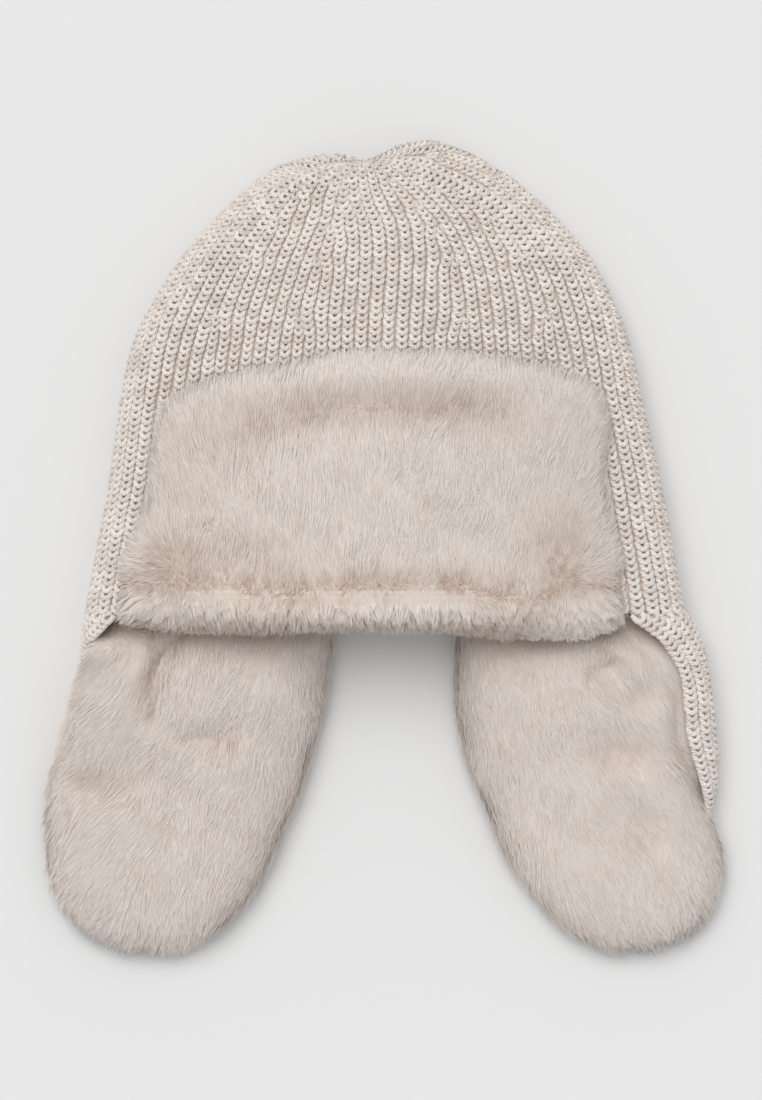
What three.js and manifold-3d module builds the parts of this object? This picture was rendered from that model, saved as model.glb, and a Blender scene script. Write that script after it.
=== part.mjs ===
// A knitted aviator hat with a turned-up fur front flap and two fur-lined ear flaps.
// It lies on its back with its front facing up, lightly filled, as it is laid out on a table.
// Units are millimetres. +Z is up, and +Y runs from the rim to the top of the crown.
// The pieces are worked out with Y = 0 at the rim and X = 0 in its middle, and the whole hat is
// then moved so that the origin is under the middle of its footprint.

import * as THREE from "three";
import { mergeVertices } from "three/addons/utils/BufferGeometryUtils.js";
import Module from "manifold-3d";

const wasm = await Module();
wasm.setup();

// Knitted crown
const CROWN_RISE = 207; // rim to the highest point of the crown
const RIM_HALF_WIDTH = 132; // half of the rim's width as it lies
const LOFT = 50; // greatest height of the lying crown above the table
const SIDE_ROLL = 17; // radius of the rolled side edge at the rim
const KNIT_WALL = 4.2; // thickness of the knit, over the ribs
const RIB_RELIEF = 1.4; // depth of the valleys between ribs
const RIBS_IN_GORE = 7;
const GORES = 12; // the ribs of a gore are taken in along its far border
const PRESSED = 0.5; // how far the ribs are squashed where they rest
const SEAM_GAP = 0.3; // clearance between pieces that are sewn together

// Fur
const PILE = 15; // height of the laid pile over its backing
const FLAP_LENGTH = 148; // rim to the tip of an ear flap
const FRONT_FLAP_RISE = 114; // rim to the top edge of the front flap
const FRONT_FLAP_HALF_WIDTH = 0.856 * RIM_HALF_WIDTH;
const FRONT_ROLL_DROP = 10; // how far the folded edge of the front flap hangs past the rim at the most
const ROLL_SHARES = [0.68, 0.45, 1]; // of that drop on the left, in the middle and on the right
const ROLL_CURL = 4; // how far the folded edge's underside curls up at its end
const FRONT_ROLL_LIFT = 5; // how much the folded edge swells over the rest
const CREASE = 1.9; // depth of the parting above the folded edge
const LOCK_LENGTH = 20;
const LOCK_WIDTH = 13;
const LOCK_FLATNESS = 0.42; // thickness of a lock as a share of its width
const LOCK_LIFT = 0.2; // slope of a lock above the fur that it lies on
const LOCK_SINK = 2.2; // how deep the root of a lock sits in the backing

const KNIT_COLOUR = 0xd6ccc6;
const FUR_COLOUR = 0xdccfc6;

// Sections of the crown from the rim to the gather at its top. front and back are the heights of
// the section's front and back over the rim, in crown rises. half is in rim half widths, top and
// base in lofts, roll in side rolls. shift moves the section sideways, in rim half widths, and
// lean raises its right-hand back and lowers the left, in crown rises. notch is how far the back
// dips in its middle, in crown rises.
const CROWN_ROWS = [
  { front: 0, back: 0, half: 1, top: 0.88, base: 0, roll: 1, shift: 0, lean: 0, notch: 0 },
  { front: 0.14, back: 0.14, half: 0.96, top: 0.93, base: 0, roll: 0.97, shift: 0, lean: 0, notch: 0 },
  { front: 0.29, back: 0.29, half: 0.917, top: 0.98, base: 0, roll: 0.93, shift: 0, lean: 0, notch: 0 },
  { front: 0.45, back: 0.45, half: 0.871, top: 1, base: 0, roll: 0.88, shift: -0.012, lean: 0, notch: 0 },
  { front: 0.575, back: 0.585, half: 0.823, top: 0.99, base: 0, roll: 0.85, shift: -0.012, lean: 0, notch: 0 },
  { front: 0.69, back: 0.725, half: 0.722, top: 0.95, base: 0, roll: 0.82, shift: 0, lean: 0, notch: 0 },
  { front: 0.755, back: 0.825, half: 0.615, top: 0.9, base: 0.01, roll: 0.78, shift: 0.004, lean: 0, notch: 0 },
  { front: 0.812, back: 0.915, half: 0.483, top: 0.83, base: 0.05, roll: 0.7, shift: -0.004, lean: 0.006, notch: 0 },
  { front: 0.852, back: 0.965, half: 0.37, top: 0.76, base: 0.12, roll: 0.6, shift: -0.03, lean: 0.014, notch: 0.01 },
  { front: 0.892, back: 0.985, half: 0.255, top: 0.68, base: 0.24, roll: 0.45, shift: -0.05, lean: 0.022, notch: 0.026 },
  { front: 0.928, back: 0.972, half: 0.15, top: 0.6, base: 0.38, roll: 0.22, shift: -0.06, lean: 0.02, notch: 0.014 },
  { front: 0.954, back: 0.954, half: 0, top: 0.53, base: 0.53, roll: 0, shift: -0.068, lean: 0, notch: 0 },
];
const SHOULDER_ROW = 3; // from here up, ribs are taken in
const NOTCH_HALF_WIDTH = 9; // of the dip behind the gather

// Sections of an ear flap's knitted shell from the rim down. down is in flap lengths, inner, outer
// and reach in rim half widths, roll in side rolls, and turn is how far the outer edge curls up and
// over, in degrees. reach is the flat stretch past the curl.
const RIGHT_SHELL_ROWS = [
  { down: 0, inner: 0.25, outer: 1.008, roll: 1, turn: 180, reach: 0.072 },
  { down: 0.08, inner: 0.245, outer: 1.056, roll: 0.94, turn: 180, reach: 0.012 },
  { down: 0.2, inner: 0.25, outer: 1.09, roll: 0.82, turn: 174, reach: 0 },
  { down: 0.38, inner: 0.285, outer: 1.112, roll: 0.74, turn: 178, reach: 0 },
  { down: 0.53, inner: 0.335, outer: 1.112, roll: 0.58, turn: 150, reach: 0 },
  { down: 0.67, inner: 0.41, outer: 1.075, roll: 0.42, turn: 70, reach: 0 },
  { down: 0.79, inner: 0.51, outer: 1.04, roll: 0.36, turn: 30, reach: 0 },
  { down: 0.87, inner: 0.62, outer: 0.96, roll: 0.36, turn: 20, reach: 0 },
  { down: 0.91, inner: 0.71, outer: 0.88, roll: 0.36, turn: 20, reach: 0 },
];
const LEFT_SHELL_ROWS = [
  { down: 0, inner: 0.172, outer: 0.996, roll: 1, turn: 168, reach: 0 },
  { down: 0.045, inner: 0.172, outer: 1.005, roll: 0.96, turn: 148, reach: 0 },
  { down: 0.107, inner: 0.178, outer: 1.014, roll: 0.9, turn: 105, reach: 0 },
  { down: 0.16, inner: 0.19, outer: 1.02, roll: 0.83, turn: 88, reach: 0 },
  { down: 0.3, inner: 0.218, outer: 1.022, roll: 0.7, turn: 80, reach: 0 },
  { down: 0.48, inner: 0.275, outer: 1.045, roll: 0.5, turn: 70, reach: 0 },
  { down: 0.67, inner: 0.372, outer: 1.06, roll: 0.42, turn: 60, reach: 0 },
  { down: 0.79, inner: 0.455, outer: 1.03, roll: 0.36, turn: 30, reach: 0 },
  { down: 0.88, inner: 0.565, outer: 0.95, roll: 0.36, turn: 20, reach: 0 },
  { down: 0.92, inner: 0.66, outer: 0.86, roll: 0.36, turn: 20, reach: 0 },
];

// Sections of an ear flap's fur, without the locks past its edge. inner and outer are in rim half
// widths, swell is the height of the pile in piles, and bank how far the fur climbs into the
// curled edge of the shell, as a share of that edge's height.
const RIGHT_FUR_ROWS = [
  { down: 0, inner: 0.26, outer: 0.82, swell: 1.2, bank: 0.8 },
  { down: 0.04, inner: 0.25, outer: 0.875, swell: 1.32, bank: 0.85 },
  { down: 0.13, inner: 0.24, outer: 0.96, swell: 1.72, bank: 1.04 },
  { down: 0.24, inner: 0.24, outer: 1.0, swell: 1.78, bank: 1.02 },
  { down: 0.38, inner: 0.265, outer: 1.0, swell: 1.62, bank: 1 },
  { down: 0.5, inner: 0.31, outer: 1.04, swell: 1.5, bank: 0.9 },
  { down: 0.6, inner: 0.355, outer: 1.085, swell: 1.4, bank: 0.5 },
  { down: 0.72, inner: 0.415, outer: 1.11, swell: 1.34, bank: 0 },
  { down: 0.83, inner: 0.505, outer: 1.09, swell: 1.28, bank: 0 },
  { down: 0.91, inner: 0.595, outer: 1.03, swell: 1.2, bank: 0 },
  { down: 0.965, inner: 0.69, outer: 0.93, swell: 0.95, bank: 0 },
];
const LEFT_FUR_ROWS = [
  { down: 0, inner: 0.18, outer: 0.87, swell: 1.2, bank: 0.8 },
  { down: 0.04, inner: 0.178, outer: 0.92, swell: 1.32, bank: 0.8 },
  { down: 0.1, inner: 0.185, outer: 0.97, swell: 1.6, bank: 1.1 },
  { down: 0.18, inner: 0.2, outer: 1.012, swell: 1.78, bank: 1.06 },
  { down: 0.34, inner: 0.23, outer: 1.05, swell: 1.68, bank: 0.95 },
  { down: 0.5, inner: 0.284, outer: 1.1, swell: 1.5, bank: 0.6 },
  { down: 0.61, inner: 0.33, outer: 1.12, swell: 1.4, bank: 0.2 },
  { down: 0.74, inner: 0.392, outer: 1.12, swell: 1.34, bank: 0 },
  { down: 0.84, inner: 0.462, outer: 1.08, swell: 1.28, bank: 0 },
  { down: 0.92, inner: 0.555, outer: 1.005, swell: 1.2, bank: 0 },
  { down: 0.97, inner: 0.655, outer: 0.895, swell: 0.95, bank: 0 },
];

// The front flap's outline from its folded edge up, without the locks past it. up is in front flap
// rises, left and right in front flap half widths, and swell in piles.
const FRONT_FUR_ROWS = [
  { up: -0.075, left: 0.8, right: 0.76, swell: 0.3 },
  { up: -0.05, left: 0.9, right: 0.85, swell: 0.75 },
  { up: -0.0125, left: 0.97, right: 0.885, swell: 1 },
  { up: -0.0024, left: 0.98, right: 0.89, swell: 1 },
  { up: 0.03, left: 1, right: 0.895, swell: 1 },
  { up: 0.09, left: 1, right: 0.895, swell: 1 },
  { up: 0.17, left: 0.975, right: 0.88, swell: 1 },
  { up: 0.3, left: 0.93, right: 0.85, swell: 1 },
  { up: 0.46, left: 0.885, right: 0.83, swell: 1 },
  { up: 0.62, left: 0.87, right: 0.835, swell: 1.02 },
  { up: 0.73, left: 0.845, right: 0.83, swell: 1.06 },
  { up: 0.81, left: 0.75, right: 0.8, swell: 1.03 },
  { up: 0.865, left: 0.58, right: 0.705, swell: 0.87 },
  { up: 0.905, left: 0.38, right: 0.54, swell: 0.5 },
];

// Dents in the fur. across and along place the middle in the piece's own outline, from 0 to 1,
// wide and tall are its radii in the same measure, and depth is in piles. A ridge is a dent of
// negative depth.
const FRONT_DENTS = [
  { across: 0.57, along: 0.83, wide: 0.16, tall: 0.06, depth: 0.42 },
  { across: 0.34, along: 0.8, wide: 0.13, tall: 0.06, depth: 0.26 },
  { across: 0.17, along: 0.75, wide: 0.1, tall: 0.07, depth: 0.16 },
  { across: 0.78, along: 0.79, wide: 0.08, tall: 0.07, depth: 0.2 },
  { across: 0.1, along: 0.2, wide: 0.07, tall: 0.09, depth: 0.45 },
  { across: 0.9, along: 0.24, wide: 0.07, tall: 0.1, depth: 0.32 },
];
const RIGHT_DENTS = [
  { across: 0.66, along: 0.215, wide: 0.1, tall: 0.035, depth: 0.25 },
  { across: 0.82, along: 0.12, wide: 0.1, tall: 0.09, depth: -0.08 },
  { across: 0.79, along: 0.285, wide: 0.08, tall: 0.035, depth: 0.16 },
  { across: 0.68, along: 0.415, wide: 0.12, tall: 0.035, depth: 0.16 },
  { across: 0.68, along: 0.62, wide: 0.14, tall: 0.08, depth: 0.1 },
];
const LEFT_DENTS = [
  { across: 0.69, along: 0.22, wide: 0.05, tall: 0.15, depth: 0.3 },
  { across: 0.82, along: 0.17, wide: 0.09, tall: 0.17, depth: -0.08 },
  { across: 0.41, along: 0.405, wide: 0.12, tall: 0.03, depth: 0.18 },
  { across: 0.8, along: 0.5, wide: 0.18, tall: 0.06, depth: 0.16 },
];

const lerp = THREE.MathUtils.lerp;
const clamp = THREE.MathUtils.clamp;
const smoothstep = THREE.MathUtils.smoothstep;
const radians = THREE.MathUtils.degToRad;

// Every column of a table at a fractional row, on a smooth curve through the rows.
function rowAt(table, at) {
  const last = table.length - 1;
  const i = clamp(Math.floor(at), 0, last - 1);
  const f = at - i;
  const row = {};
  for (const column of Object.keys(table[0])) {
    const [a, b, c, d] = [i - 1, i, i + 1, i + 2].map((k) => table[clamp(k, 0, last)][column]);
    const bend = 2 * b - 2 * c + (c - a) / 2 + (d - b) / 2;
    const turn = 3 * c - 3 * b - (c - a) - (d - b) / 2;
    row[column] = ((bend * f + turn) * f + (c - a) / 2) * f + b;
  }
  return row;
}

// The fractional row where a rising column reaches a value.
function rowWhere(table, column, value) {
  let low = 0;
  let high = table.length - 1;
  for (let step = 0; step < 30; step += 1) {
    const middle = (low + high) / 2;
    if (rowAt(table, middle)[column] < value) low = middle;
    else high = middle;
  }
  return (low + high) / 2;
}

// A repeatable number from 0 to 1 that looks random.
function scatter(seed) {
  const s = Math.sin(seed * 127.1 + 11.7) * 43758.5453;
  return s - Math.floor(s);
}

// Closed lofting

// A closed mesh through rings of equally many points. Each end is closed by a strip between the two
// halves of its ring: mirror is 0 where the halves meet in the first point, and 1 before it.
function loft(rings, mirror) {
  const n = rings[0].length;
  const faces = [];
  for (let i = 0; i + 1 < rings.length; i += 1) {
    for (let j = 0; j < n; j += 1) {
      const k = (j + 1) % n;
      faces.push([i * n + j, i * n + k, (i + 1) * n + k]);
      faces.push([i * n + j, (i + 1) * n + k, (i + 1) * n + j]);
    }
  }
  const last = (rings.length - 1) * n;
  const across = (j) => (n - mirror - j) % n;
  for (let j = 0; 2 * (j + 1) <= n - mirror; j += 1) {
    faces.push([last + j, last + j + 1, last + across(j + 1)], [last + j, last + across(j + 1), last + across(j)]);
    faces.push([across(j + 1), j + 1, j], [across(j), across(j + 1), j]);
  }
  return solidOf(rings.flat(), faces);
}

// A manifold solid from points and triangles. Points that coincide are merged, the triangles that
// this folds up are dropped, and a solid that came out inside out is turned round.
function solidOf(points, faces) {
  const geometry = new THREE.BufferGeometry().setFromPoints(points);
  geometry.setIndex(faces.flat());
  const merged = mergeVertices(geometry, 1e-4);
  const index = merged.index.array;
  const kept = [];
  for (let i = 0; i < index.length; i += 3) {
    const [a, b, c] = [index[i], index[i + 1], index[i + 2]];
    if (a !== b && b !== c && a !== c) kept.push(a, b, c);
  }
  const vertProperties = new Float32Array(merged.getAttribute("position").array);
  const solid = new wasm.Manifold(
    new wasm.Mesh({ numProp: 3, vertProperties, triVerts: new Uint32Array(kept) }),
  );
  if (solid.volume() > 0) return solid;
  return new wasm.Manifold(
    new wasm.Mesh({ numProp: 3, vertProperties, triVerts: new Uint32Array(kept.reverse()) }),
  );
}

function meshOf(name, solid, colour, roughness) {
  const { vertProperties, triVerts } = solid.getMesh();
  const geometry = new THREE.BufferGeometry();
  geometry.setAttribute("position", new THREE.BufferAttribute(new Float32Array(vertProperties), 3));
  geometry.setIndex(new THREE.BufferAttribute(new Uint32Array(triVerts), 1));
  geometry.computeVertexNormals();
  const material = new THREE.MeshStandardMaterial({ color: colour, roughness, metalness: 0 });
  const mesh = new THREE.Mesh(geometry, material);
  mesh.name = name;
  return mesh;
}

// Crown

// One section of the crown in millimetres, taken in by a wall thickness.
function crownSection(at, inset = 0) {
  const row = rowAt(CROWN_ROWS, at);
  const rise = CROWN_RISE - inset;
  const half = Math.max(row.half * RIM_HALF_WIDTH - inset, 0);
  const base = row.base * LOFT + inset - PRESSED;
  const top = Math.max(row.top * LOFT - inset, base);
  const roll = Math.max(Math.min(row.roll * SIDE_ROLL - inset, (top - base) / 2, half), 0);
  return {
    front: row.front * rise,
    back: row.back * rise,
    lean: row.lean * rise,
    notch: row.notch * rise,
    shift: row.shift * RIM_HALF_WIDTH,
    half,
    base,
    top,
    roll,
  };
}

// Height of a section's front at x: level over the sides and domed in the middle.
function sectionTop(section, x) {
  const flat = Math.max(section.half - section.roll, 1e-6);
  const dome = Math.cos((Math.PI / 2) * clamp(Math.abs(x) / flat, 0, 1)) ** 2;
  return lerp(section.base + 2 * section.roll, section.top, dome);
}

// The right-hand half of a section from the front centre round the side to the back centre, with
// the length run at each point.
const SECTION_STEPS = 24;
function halfSection(section) {
  const flat = section.half - section.roll;
  const line = [];
  for (let i = 0; i <= SECTION_STEPS; i += 1) {
    const x = (flat * i) / SECTION_STEPS;
    line.push({ x, z: sectionTop(section, x) });
  }
  for (let i = 1; i <= SECTION_STEPS; i += 1) {
    const a = Math.PI / 2 - (Math.PI * i) / SECTION_STEPS;
    line.push({
      x: flat + section.roll * Math.cos(a),
      z: section.base + section.roll * (1 + Math.sin(a)),
    });
  }
  line.push({ x: 0, z: section.base });
  let run = 0;
  line.forEach((p, i) => {
    if (i > 0) run += Math.hypot(p.x - line[i - 1].x, p.z - line[i - 1].z);
    p.run = run;
  });
  return line;
}

// The point of a section at a share of the way round it, from the front centre towards +X.
function sectionPoint(section, line, share) {
  const side = share <= 0.5 ? 1 : -1;
  const run = 2 * (side > 0 ? share : 1 - share) * line[line.length - 1].run;
  let i = 1;
  while (i < line.length - 1 && line[i].run < run) i += 1;
  const [a, b] = [line[i - 1], line[i]];
  const f = b.run > a.run ? clamp((run - a.run) / (b.run - a.run), 0, 1) : 0;
  const x = side * lerp(a.x, b.x, f);
  const z = lerp(a.z, b.z, f);
  const height = section.top - section.base;
  const front = height > 0 ? (z - section.base) / height : 1;
  const lean = section.half > 0 ? (section.lean * (1 - front) * x) / section.half : 0;
  const notch = section.notch * (1 - clamp(front, 0, 1)) * Math.exp(-((x / NOTCH_HALF_WIDTH) ** 2));
  return new THREE.Vector3(
    x + section.shift,
    lerp(section.back, section.front, clamp(front, 0, 1)) + lean - notch,
    z,
  );
}

function crownPoint(at, share, inset = 0) {
  const section = crownSection(at, inset);
  return sectionPoint(section, halfSection(section), share);
}

function crownNormal(at, share) {
  const d = 0.01;
  const along = crownPoint(Math.min(at + d, CROWN_ROWS.length - 1), share).sub(crownPoint(Math.max(at - d, 0), share));
  const after = crownPoint(at, (share + d) % 1);
  const around = after.sub(crownPoint(at, (share + 1 - d) % 1));
  return around.cross(along).normalize();
}

function girth(at) {
  const section = crownSection(at);
  const line = halfSection(section);
  const steps = 48;
  let length = 0;
  for (let i = 0; i < steps; i += 1) {
    const a = sectionPoint(section, line, i / steps);
    length += a.distanceTo(sectionPoint(section, line, (i + 1) / steps));
  }
  return length;
}

// Where the crests and valleys of the ribs stand round a section of the given girth. Ribs run
// parallel to the border of their gore that is nearer the front or back centre, and are taken in
// at the other.
function ribColumns(length, pitch) {
  const gore = length / GORES;
  const half = [];
  for (let g = 0; g < GORES / 2; g += 1) {
    const fromStart = g < GORES / 4;
    for (let i = 0; i < 2 * RIBS_IN_GORE; i += 1) {
      const step = fromStart ? i : 2 * RIBS_IN_GORE - i;
      const run = Math.min((step * pitch) / 2, gore);
      const crest = step % 2 ? clamp((gore - run) / (pitch / 2), 0, 1) : 0;
      const share = fromStart ? g / GORES + run / length : (g + 1) / GORES - run / length;
      half.push({ share: Math.round(share * 1e9) / 1e9, crest });
    }
  }
  const back = { share: 0.5, crest: 0 };
  const other = half.slice(1).reverse().map((c) => ({ share: 1 - c.share, crest: c.crest }));
  return [...half, back, ...other];
}

// The space that the crown takes up, with a clearance round it.
function crownRoom(gap) {
  const rings = [0, 1.5, 3, 4, 5, 6].map((at) =>
    Array.from({ length: 72 }, (_, i) => crownPoint(at, i / 72, -gap)),
  );
  const mouth = rings[0].map((p) => new THREE.Vector3(p.x, -SEAM_GAP, p.z));
  return loft([mouth, ...rings], 0);
}

const CROWN_LEVELS = [0, 2, 3, 4, 5, 6, 7, 7.5, 8, 8.5, 9, 9.5, 10, 10.5, 11];
const LINING_LEVELS = [0, 2, 4, 5, 6, 7, 8, 9, 10];
const LINING_STEPS = 36;

function makeCrown() {
  const shoulder = girth(SHOULDER_ROW);
  const ribs = RIBS_IN_GORE * GORES;
  const outer = CROWN_LEVELS.map((at) => {
    const length = Math.max(girth(at), 1e-3);
    const pitch = Math.max(length, shoulder) / ribs;
    return ribColumns(length, pitch).map(({ share, crest }) => {
      const p = crownPoint(at, share);
      if (at === CROWN_ROWS.length - 1) return p;
      const normal = crownNormal(at, share);
      if (at === 0) normal.setY(0).normalize();
      return p.addScaledVector(normal, -RIB_RELIEF * (1 - crest));
    });
  });
  const inner = LINING_LEVELS.map((at) =>
    Array.from({ length: LINING_STEPS }, (_, i) => crownPoint(at, i / LINING_STEPS, KNIT_WALL)),
  );
  const before = (ring, y) => ring.map((p) => new THREE.Vector3(p.x, y, p.z));
  const shell = loft([before(outer[0], -KNIT_WALL), ...outer], 0).subtract(
    loft([before(inner[0], -2 * KNIT_WALL), ...inner], 0),
  );
  return mainBody(shell.trimByPlane([0, 1, 0], 0).trimByPlane([0, 0, 1], 0));
}


const FINEST = 0.02; // details of a cut below this are smoothed away

// A solid without the crumbs and slivers that a cut leaves.
function mainBody(solid) {
  const bodies = solid.asOriginal().simplify(FINEST).decompose();
  return bodies.sort((a, b) => b.volume() - a.volume())[0];
}

// Ear flaps

// One section of a shell in millimetres, with a clearance past its edges.
function shellSection(table, at, gap = 0) {
  const row = rowAt(table, at);
  const end = at === 0 ? gap : at === table.length - 1 ? -gap : 0;
  const roll = Math.max(row.roll * SIDE_ROLL, KNIT_WALL + 1);
  return {
    y: end - row.down * FLAP_LENGTH - SEAM_GAP,
    inner: row.inner * RIM_HALF_WIDTH - gap,
    outer: row.outer * RIM_HALF_WIDTH,
    roll,
    turn: radians(row.turn) + (row.reach > 0 ? 0 : (2 * gap) / roll),
    reach: Math.max(row.reach, 0) * RIM_HALF_WIDTH + (row.reach > 0 ? gap : 0),
  };
}

const SHELL_FLOOR_STEPS = 5;
const SHELL_CURL_RIBS = 8;

// Points of a shell's outside or inside from its inner edge to its lip, with a clearance round it.
function shellLine(section, inside, gap) {
  const depth = inside ? KNIT_WALL + gap : -gap;
  const radius = section.roll - depth;
  const centre = section.outer - section.roll;
  const line = [];
  for (let i = 0; i < SHELL_FLOOR_STEPS; i += 1) {
    line.push({ x: lerp(section.inner, centre, i / SHELL_FLOOR_STEPS), z: depth });
  }
  const curl = section.roll * section.turn + section.reach;
  for (let i = 0; i <= 2 * SHELL_CURL_RIBS; i += 1) {
    const run = (curl * i) / (2 * SHELL_CURL_RIBS);
    const angle = Math.min(run / section.roll, section.turn);
    const past = Math.max(run - section.roll * section.turn, 0);
    const valley = inside || gap > 0 || i % 2 === 0 ? 0 : RIB_RELIEF * smoothstep(angle, 0.2, 0.9);
    line.push({
      x: centre + (radius - valley) * Math.sin(angle) + past * Math.cos(angle),
      z: section.roll - (radius - valley) * Math.cos(angle) + past * Math.sin(angle),
    });
  }
  return line;
}

function makeShell(table, side, gap = 0) {
  const rings = table.map((_, i) => {
    const section = shellSection(table, i, gap);
    const line = [...shellLine(section, false, gap), ...shellLine(section, true, gap).reverse()];
    return line.map((p) => new THREE.Vector3(side * p.x, section.y, p.z));
  });
  return loft(rings.reverse(), 1);
}

// Height of the shell's inside at x, for the fur that lies in it.
function shellInside(table, down, x) {
  const section = shellSection(table, rowWhere(table, "down", down));
  const centre = section.outer - section.roll;
  const radius = section.roll - KNIT_WALL;
  const stop = radius * Math.sin(Math.min(section.turn, Math.PI / 2));
  const run = clamp(x - centre, 0, stop);
  return section.roll - Math.sqrt(Math.max(radius ** 2 - run ** 2, 0));
}

// A pile of fur that fades out at its edges: 1 in the middle and 0 at both ends of its width.
function crowned(w) {
  return (1 - Math.abs(2 * clamp(w, 0, 1) - 1) ** 4) ** 0.45;
}

function dented(dents, across, along) {
  return dents.reduce((sum, d) => {
    const r = ((across - d.across) / d.wide) ** 2 + ((along - d.along) / d.tall) ** 2;
    return sum + d.depth * Math.exp(-r);
  }, 0);
}

// The under and upper side of an ear flap's fur, across and along from 0 to 1.
function earFur({ furRows, shellRows, dents }, across, along) {
  const row = rowAt(furRows, along * (furRows.length - 1));
  const x = lerp(row.inner, row.outer, across) * RIM_HALF_WIDTH;
  const shell = shellSection(shellRows, rowWhere(shellRows, "down", row.down));
  const under = shellInside(shellRows, row.down, x) + 3 * SEAM_GAP;
  const floor = KNIT_WALL + 3 * SEAM_GAP;
  const body = floor + row.swell * PILE * crowned(across) * (1 - dented(dents, across, along));
  const banked = Math.max(row.bank, 0) * (2 * shell.roll - KNIT_WALL - SEAM_GAP);
  const climb = smoothstep(across, 0.7, 0.92) * clamp(row.bank, 0, 1);
  const upper = lerp(body, Math.max(banked, body), climb);
  const y = -row.down * FLAP_LENGTH - SEAM_GAP;
  return { x, y, under: Math.min(under, upper), upper: Math.max(upper, under) };
}

const FUR_ACROSS = 12;

function earFurBody(flap) {
  const rings = flap.furRows.map((_, i) => {
    const along = i / (flap.furRows.length - 1);
    const ring = [];
    for (let j = 0; j <= FUR_ACROSS; j += 1) {
      const { x, y, under } = earFur(flap, j / FUR_ACROSS, along);
      ring.push(new THREE.Vector3(flap.side * x, y, under));
    }
    for (let j = FUR_ACROSS; j >= 0; j -= 1) {
      const { x, y, upper } = earFur(flap, j / FUR_ACROSS, along);
      ring.push(new THREE.Vector3(flap.side * x, y, upper));
    }
    return ring;
  });
  return loft(rings.reverse(), 1);
}

// Fur locks

// One tapered lock with its root at a point, lying along a direction.
function lock(root, direction, up, length, width) {
  const cone = new THREE.ConeGeometry(width / 2, length, 4, 1);
  for (const name of ["normal", "uv"]) cone.deleteAttribute(name);
  const merged = mergeVertices(cone);
  const across = new THREE.Vector3().crossVectors(direction, up).normalize();
  const lift = new THREE.Vector3().crossVectors(across, direction).normalize();
  const turn = new THREE.Matrix4().makeBasis(across, direction, lift);
  const place = new THREE.Matrix4()
    .makeTranslation(root.x, root.y, root.z)
    .multiply(turn)
    .multiply(new THREE.Matrix4().makeScale(1, 1, LOCK_FLATNESS))
    .multiply(new THREE.Matrix4().makeTranslation(0, length / 2, 0));
  merged.applyMatrix4(place);
  const position = merged.getAttribute("position");
  const points = [];
  for (let i = 0; i < position.count; i += 1) points.push(new THREE.Vector3().fromBufferAttribute(position, i));
  const index = merged.index.array;
  const faces = [];
  for (let i = 0; i < index.length; i += 3) faces.push([index[i], index[i + 1], index[i + 2]]);
  return solidOf(points, faces);
}

// Fuses rows of locks to a body of fur. surface gives the upper side at across and along, and flow
// the plan direction in which the fur is combed there, with the share of its length that it
// reaches.
function withLocks(body, surface, flow, rows, columns) {
  let fused = body;
  for (let i = 0; i < rows; i += 1) {
    const count = columns - (i % 2);
    for (let j = 0; j < count; j += 1) {
      const seed = i * 31 + j * 7;
      const along = (i + 0.5) / rows;
      const across = (j + 0.5) / count + (scatter(seed) - 0.5) * 0.04;
      const here = surface(across, along);
      const comb = flow(across, along);
      const direction = new THREE.Vector3(comb.x, comb.y, 0).normalize();
      const slope = surface.slope(across, along, direction);
      direction.z = slope + LOCK_LIFT * (0.7 + 0.6 * scatter(seed + 3));
      direction.normalize();
      const root = here.clone();
      root.z -= LOCK_SINK;
      const length = comb.reach * LOCK_LENGTH * (0.85 + 0.35 * scatter(seed + 5));
      fused = fused.add(lock(root, direction, new THREE.Vector3(0, 0, 1), length, LOCK_WIDTH));
    }
  }
  return fused;
}

// A surface as withLocks needs it, from a function that gives x, y and upper. It stays a little
// inside the outline, where the fur still has height.
function upperSide(place, side = 1) {
  const inset = 0.1;
  const at = (across, along) => {
    const p = place(lerp(inset, 1 - inset, across), along);
    return new THREE.Vector3(side * p.x, p.y, p.upper);
  };
  at.slope = (across, along, direction) => {
    const d = 0.03;
    const here = at(across, along);
    const right = at(across + d, along).sub(here);
    const up = at(across, along + d).sub(here);
    const normal = right.cross(up);
    if (Math.abs(normal.z) < 1e-6) return 0;
    return clamp(-(normal.x * direction.x + normal.y * direction.y) / normal.z, -0.8, 0.5);
  };
  return at;
}

const RIGHT_FLAP = { side: 1, shellRows: RIGHT_SHELL_ROWS, furRows: RIGHT_FUR_ROWS, dents: RIGHT_DENTS };
const LEFT_FLAP = { side: -1, shellRows: LEFT_SHELL_ROWS, furRows: LEFT_FUR_ROWS, dents: LEFT_DENTS };

// The fur of an ear flap is combed down, fanning outwards across its width.
function makeEarFur(flap) {
  const surface = upperSide((across, along) => earFur(flap, across, along), flap.side);
  const flow = (across, along) => ({
    x: flap.side * lerp(-0.25, 0.75, across),
    y: -1,
    reach: along < 0.1 ? 0.6 : lerp(1, 0.55, clamp(2 * along - 0.8, 0, 1)),
  });
  const fur = withLocks(earFurBody(flap), surface, flow, 9, 6);
  return mainBody(fur.subtract(makeShell(flap.shellRows, flap.side, SEAM_GAP)));
}

// Front flap

// Height of the crown's front at x and y, counted from the table.
function crownFront(x, y) {
  const at = rowWhere(CROWN_ROWS, "front", clamp(y, 0, CROWN_RISE) / CROWN_RISE);
  const section = crownSection(at);
  return sectionTop(section, x - section.shift);
}

const PARTING = 0.155; // where the fur parts above the folded edge, as a share of the outline's rows

// How far the folded edge hangs past the rim at across.
function rollDrop(across) {
  const [left, middle, right] = ROLL_SHARES;
  const share = across < 0.5
    ? lerp(left, middle, smoothstep(across, 0.15, 0.42))
    : lerp(middle, right, smoothstep(across, 0.58, 0.8));
  return share * FRONT_ROLL_DROP;
}

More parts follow.
